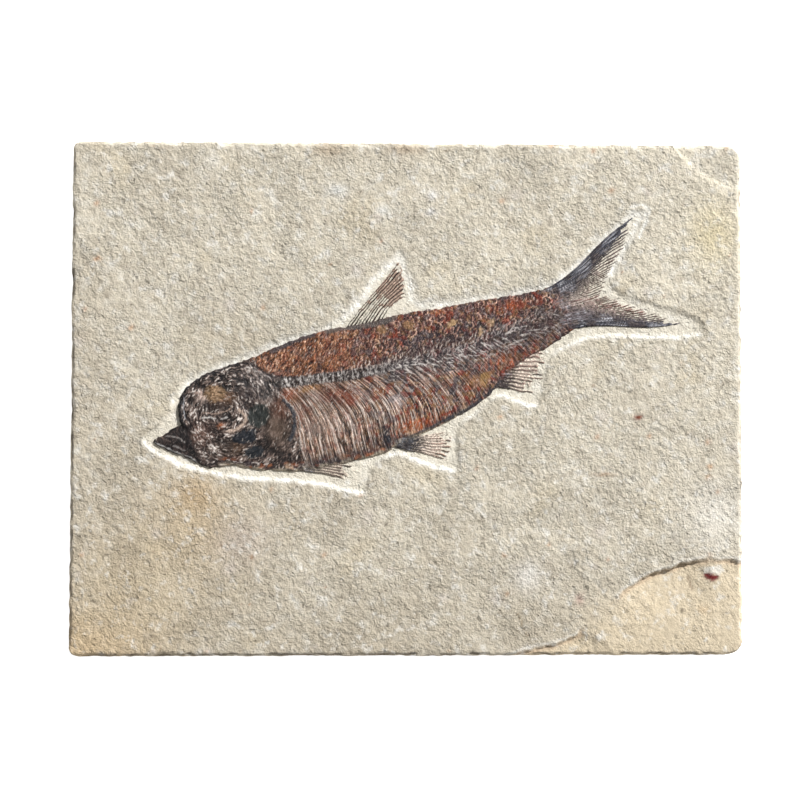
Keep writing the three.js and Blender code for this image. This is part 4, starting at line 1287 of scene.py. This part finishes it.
def add_fins(field):
    """Adds every fin, behind the body's edge except at the tail, whose rays grow out of the body."""
    x, y = field.x, field.y
    field.fin_grit = cloud(x, y, 0.6, 191, 2)
    frayed = x + field.fin_grit + 1.5 * cloud(x, y, 3, 193, 2)
    field.tail = smoothstep(*TAIL_FROM, frayed)
    off_body = 1 - smoothstep(0.2, 1.2, np.maximum(field.body, field.jaw))
    field.free = np.maximum(off_body, smoothstep(*FREE_RAYS_FROM, frayed))
    for seed, fin in enumerate(FINS.values()):
        add_fin(field, fin, seed)


FISH_STEPS = (
    paint_scales, paint_ribs, paint_hues, paint_backbone, paint_spines, paint_ticks, paint_head,
    paint_scutes, paint_patches, paint_jaw, raise_body, add_fins,
)


def fossil():
    """The fish's mesh: the part of its grid that isn't sunk in the stone, set into the slab's frame."""
    field = fish_fields()
    for step in FISH_STEPS:
        step(field)
    z = field.z.ravel()
    quads = grid_quads(*field.x.shape)
    shown = (z[quads] > SHOWN_ABOVE).any(axis=1)
    used, quads = np.unique(quads[shown], return_inverse=True)
    quads = quads.reshape(-1, 4)
    x, y = field.x.ravel()[used], field.y.ravel()[used]
    cos, sin = math.cos(FISH_TILT), math.sin(FISH_TILT)
    across = FISH_AT[0] + cos * x - sin * y
    up = FISH_AT[1] + sin * x + cos * y
    low, high = np.array(FISH_BOX)
    plan = (np.column_stack([x, y]) - low) / (high - low)
    points = np.column_stack([across, up, FISH_FLOOR + z[used]])
    piece = mesh_piece("fish_bone", points, quads, plan[quads.ravel()])
    store_tint(piece, field.tint.reshape(-1, 3)[used])
    store(piece, "rough", "FLOAT", field.flecked.ravel()[used])
    flow = field.flow.reshape(-1, 2)[used]
    store(piece, "flow", "FLOAT_VECTOR", np.column_stack([flow, np.zeros(len(used))]))
    return piece


# Materials
TURNED = (0.6, 0.4, 0.9)
LAYER_SQUEEZE = (0.045, 0.045, 1)
CHALK = (0.84, 0.82, 0.77, 1)
PALE_HAIR = (0.6, 0.49, 0.41, 1)
WHITE = (1, 1, 1, 1)
FLOOR_GREY = (0.9, 0.9, 0.9, 1)
FLOOR_GLOW = 0.85
# Heights of the thin sheets that the split face steps through, as (noise, height) stops
FLAKE_STEPS = [
    (0.30, 0.0), (0.32, 0.2), (0.39, 0.25), (0.41, 0.4), (0.48, 0.45), (0.50, 0.6), (0.58, 0.65),
    (0.60, 0.8), (0.68, 0.85), (0.70, 1.0),
]


def material(name, roughness, specular):
    made = bpy.data.materials.new(name)
    made.use_nodes = True
    shader = made.node_tree.nodes["Principled BSDF"]
    shader.inputs["Roughness"].default_value = roughness
    shader.inputs["Specular IOR Level"].default_value = specular
    return made, shader


class Nodes:
    """The nodes of one material, with the few kinds of link that the materials here repeat."""

    def __init__(self, made):
        self.tree = made.node_tree
        self.turned = self.coordinates("Rotation", TURNED)

    def new(self, kind):
        return self.tree.nodes.new(kind)

    def link(self, source, target):
        self.tree.links.new(source, target)

    def coordinates(self, change, values):
        """Object coordinates with a rotation or a scale."""
        place, made = self.new("ShaderNodeTexCoord"), self.new("ShaderNodeMapping")
        made.inputs[change].default_value = values
        self.link(place.outputs["Object"], made.inputs["Vector"])
        return made.outputs["Vector"]

    def stored(self, name, output="Fac"):
        made = self.new("ShaderNodeAttribute")
        made.attribute_name = name
        return made.outputs[output]

    def noise(self, scale, detail, roughness, vector=None):
        made = self.new("ShaderNodeTexNoise")
        made.inputs["Scale"].default_value = scale
        made.inputs["Detail"].default_value = detail
        made.inputs["Roughness"].default_value = roughness
        self.link(vector or self.turned, made.inputs["Vector"])
        return made.outputs["Fac"]

    def ramp(self, value, stops):
        """Grey levels read off a row of (value, level) stops."""
        made = self.new("ShaderNodeValToRGB")
        row = made.color_ramp.elements
        while len(row) < len(stops):
            row.new(0.5)
        for element, (place, level) in zip(row, stops):
            element.position = place
            element.color = (level, level, level, 1)
        self.link(value, made.inputs["Fac"])
        return made.outputs["Color"]

    def mix(self, blend, factor, first, second):
        made = self.new("ShaderNodeMix")
        made.data_type = "RGBA"
        made.blend_type = blend
        for name, value in (("Factor", factor), ("A", first), ("B", second)):
            if isinstance(value, bpy.types.NodeSocket):
                self.link(value, made.inputs[name])
            else:
                made.inputs[name].default_value = value
        return made.outputs["Result"]

    def shade(self, colour, value, stops, factor=1.0):
        """A colour multiplied by the grey levels that a value reads off a row of stops."""
        return self.mix("MULTIPLY", factor, colour, self.ramp(value, stops))

    def bump(self, height, distance, strength, before=None):
        made = self.new("ShaderNodeBump")
        made.inputs["Distance"].default_value = distance * MM
        self.link(strength, made.inputs["Strength"])
        self.link(height, made.inputs["Height"])
        if before:
            self.link(before, made.inputs["Normal"])
        return made.outputs["Normal"]


def limestone_material():
    """Sugary, flaky split stone in the colours stored on the mesh, with thin layers down the sides."""
    made, shader = material("limestone", 0.92, 0.15)
    nodes = Nodes(made)
    rough, side = nodes.stored("rough"), nodes.stored("side")
    grain = nodes.noise(950, 4, 0.62)
    fine = nodes.noise(2600, 2, 0.6)
    sheets = nodes.ramp(nodes.noise(260, 5, 0.62), FLAKE_STEPS)
    pits = nodes.ramp(nodes.noise(700, 2, 0.5), [(0.3, 0), (0.35, 1)])
    chalk = nodes.ramp(nodes.noise(420, 4, 0.6), [(0.56, 0), (0.7, 0.6)])
    layers = nodes.noise(1500, 3, 0.6, nodes.coordinates("Scale", LAYER_SQUEEZE))
    colour = nodes.stored("tint", "Color")
    colour = nodes.shade(colour, fine, [(0.3, 0.9), (0.7, 1.1)])
    colour = nodes.shade(colour, grain, [(0.3, 0.92), (0.7, 1.08)])
    # Painted shade: the colour is darkened in the small pits.
    colour = nodes.shade(colour, pits, [(0, 0.72), (1, 1)])
    colour = nodes.mix("MIX", chalk, colour, CHALK)
    colour = nodes.shade(colour, layers, [(0.32, 0.66), (0.48, 0.98), (0.66, 1.12)], side)
    nodes.link(colour, shader.inputs["Base Color"])
    normal = nodes.bump(sheets, 0.5, rough)
    normal = nodes.bump(layers, 0.5, side, normal)
    normal = nodes.bump(grain, 0.62, rough, normal)
    normal = nodes.bump(pits, 0.12, rough, normal)
    normal = nodes.bump(fine, 0.2, rough, normal)
    nodes.link(normal, shader.inputs["Normal"])
    return made


def fossil_material():
    """Dark mineralised bone and scales with a slight gloss and fine fibres."""
    made, shader = material("fossil_bone", 0.55, 0.25)
    nodes = Nodes(made)
    flecked, flow = nodes.stored("rough"), nodes.stored("flow", "Vector")
    grain = nodes.noise(1800, 3, 0.6)
    fine = nodes.noise(4200, 2, 0.6)
    fibres = nodes.noise(3.4, 3, 0.65, flow)
    hairs = nodes.ramp(nodes.noise(5.2, 2, 0.6, flow), [(0.6, 0), (0.66, 0.5)])
    hairs = nodes.mix("MULTIPLY", 1.0, hairs, flecked)
    colour = nodes.stored("tint", "Color")
    colour = nodes.shade(colour, grain, [(0.3, 0.85), (0.7, 1.15)])
    colour = nodes.shade(colour, fine, [(0.3, 0.45), (0.7, 1.55)], flecked)
    colour = nodes.shade(colour, fibres, [(0.3, 0.22), (0.5, 0.86), (0.7, 2.1)], flecked)
    colour = nodes.mix("MIX", hairs, colour, PALE_HAIR)
    nodes.link(colour, shader.inputs["Base Color"])
    normal = nodes.bump(grain, 0.15, flecked)
    normal = nodes.bump(fibres, 0.25, flecked, normal)
    normal = nodes.bump(fine, 0.12, flecked, normal)
    nodes.link(normal, shader.inputs["Normal"])
    return made


def floor_material():
    made, shader = material("pale_floor", 0.9, 0.1)
    shader.inputs["Base Color"].default_value = FLOOR_GREY
    shader.inputs["Emission Color"].default_value = WHITE
    shader.inputs["Emission Strength"].default_value = FLOOR_GLOW
    return made


# Stage. The floor's size is in metres, and the sun shines from the upper left.
FLOOR_SIZE = 20
SUN_STRENGTH = 5.25
SUN_ANGLE = math.radians(3)
SUN_TURN = (math.radians(57), 0, math.radians(135))
SKY_STRENGTH = 0.27


def studio():
    bpy.ops.mesh.primitive_plane_add(size=FLOOR_SIZE)
    floor = bpy.context.object
    floor.name = "floor"
    floor.data.materials.append(floor_material())
    sun = bpy.data.lights.new("key", "SUN")
    sun.energy = SUN_STRENGTH
    sun.angle = SUN_ANGLE
    key = bpy.data.objects.new("key", sun)
    key.rotation_euler = SUN_TURN
    bpy.context.scene.collection.objects.link(key)
    world = bpy.data.worlds.new("sky")
    world.use_nodes = True
    sky = world.node_tree.nodes["Background"]
    sky.inputs["Color"].default_value = WHITE
    sky.inputs["Strength"].default_value = SKY_STRENGTH
    bpy.context.scene.world = world
    bpy.context.scene.view_settings.view_transform = "Standard"


# The camera looks straight down; the view is this wide at the slab's upper face.
VIEW_WIDTH = 181.6
VIEW_CENTRE = (-1.25, -0.23)
LENS = 150.0
SENSOR = 36.0


def camera():
    data = bpy.data.cameras.new("camera")
    data.lens = LENS
    data.sensor_width = SENSOR
    eye = bpy.data.objects.new("camera", data)
    height = THICKNESS + VIEW_WIDTH * LENS / SENSOR
    eye.location = (VIEW_CENTRE[0] * MM, VIEW_CENTRE[1] * MM, height * MM)
    bpy.context.scene.collection.objects.link(eye)
    bpy.context.scene.camera = eye


slab = limestone()
slab.data.materials.append(limestone_material())
fish = fossil()
fish.data.materials.append(fossil_material())
for piece, node, slot in ((slab, "limestone_slab", "limestone"), (fish, "fossil_fish", "fossil_bone")):
    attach(piece, "root")
    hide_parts(node)
studio()
camera()
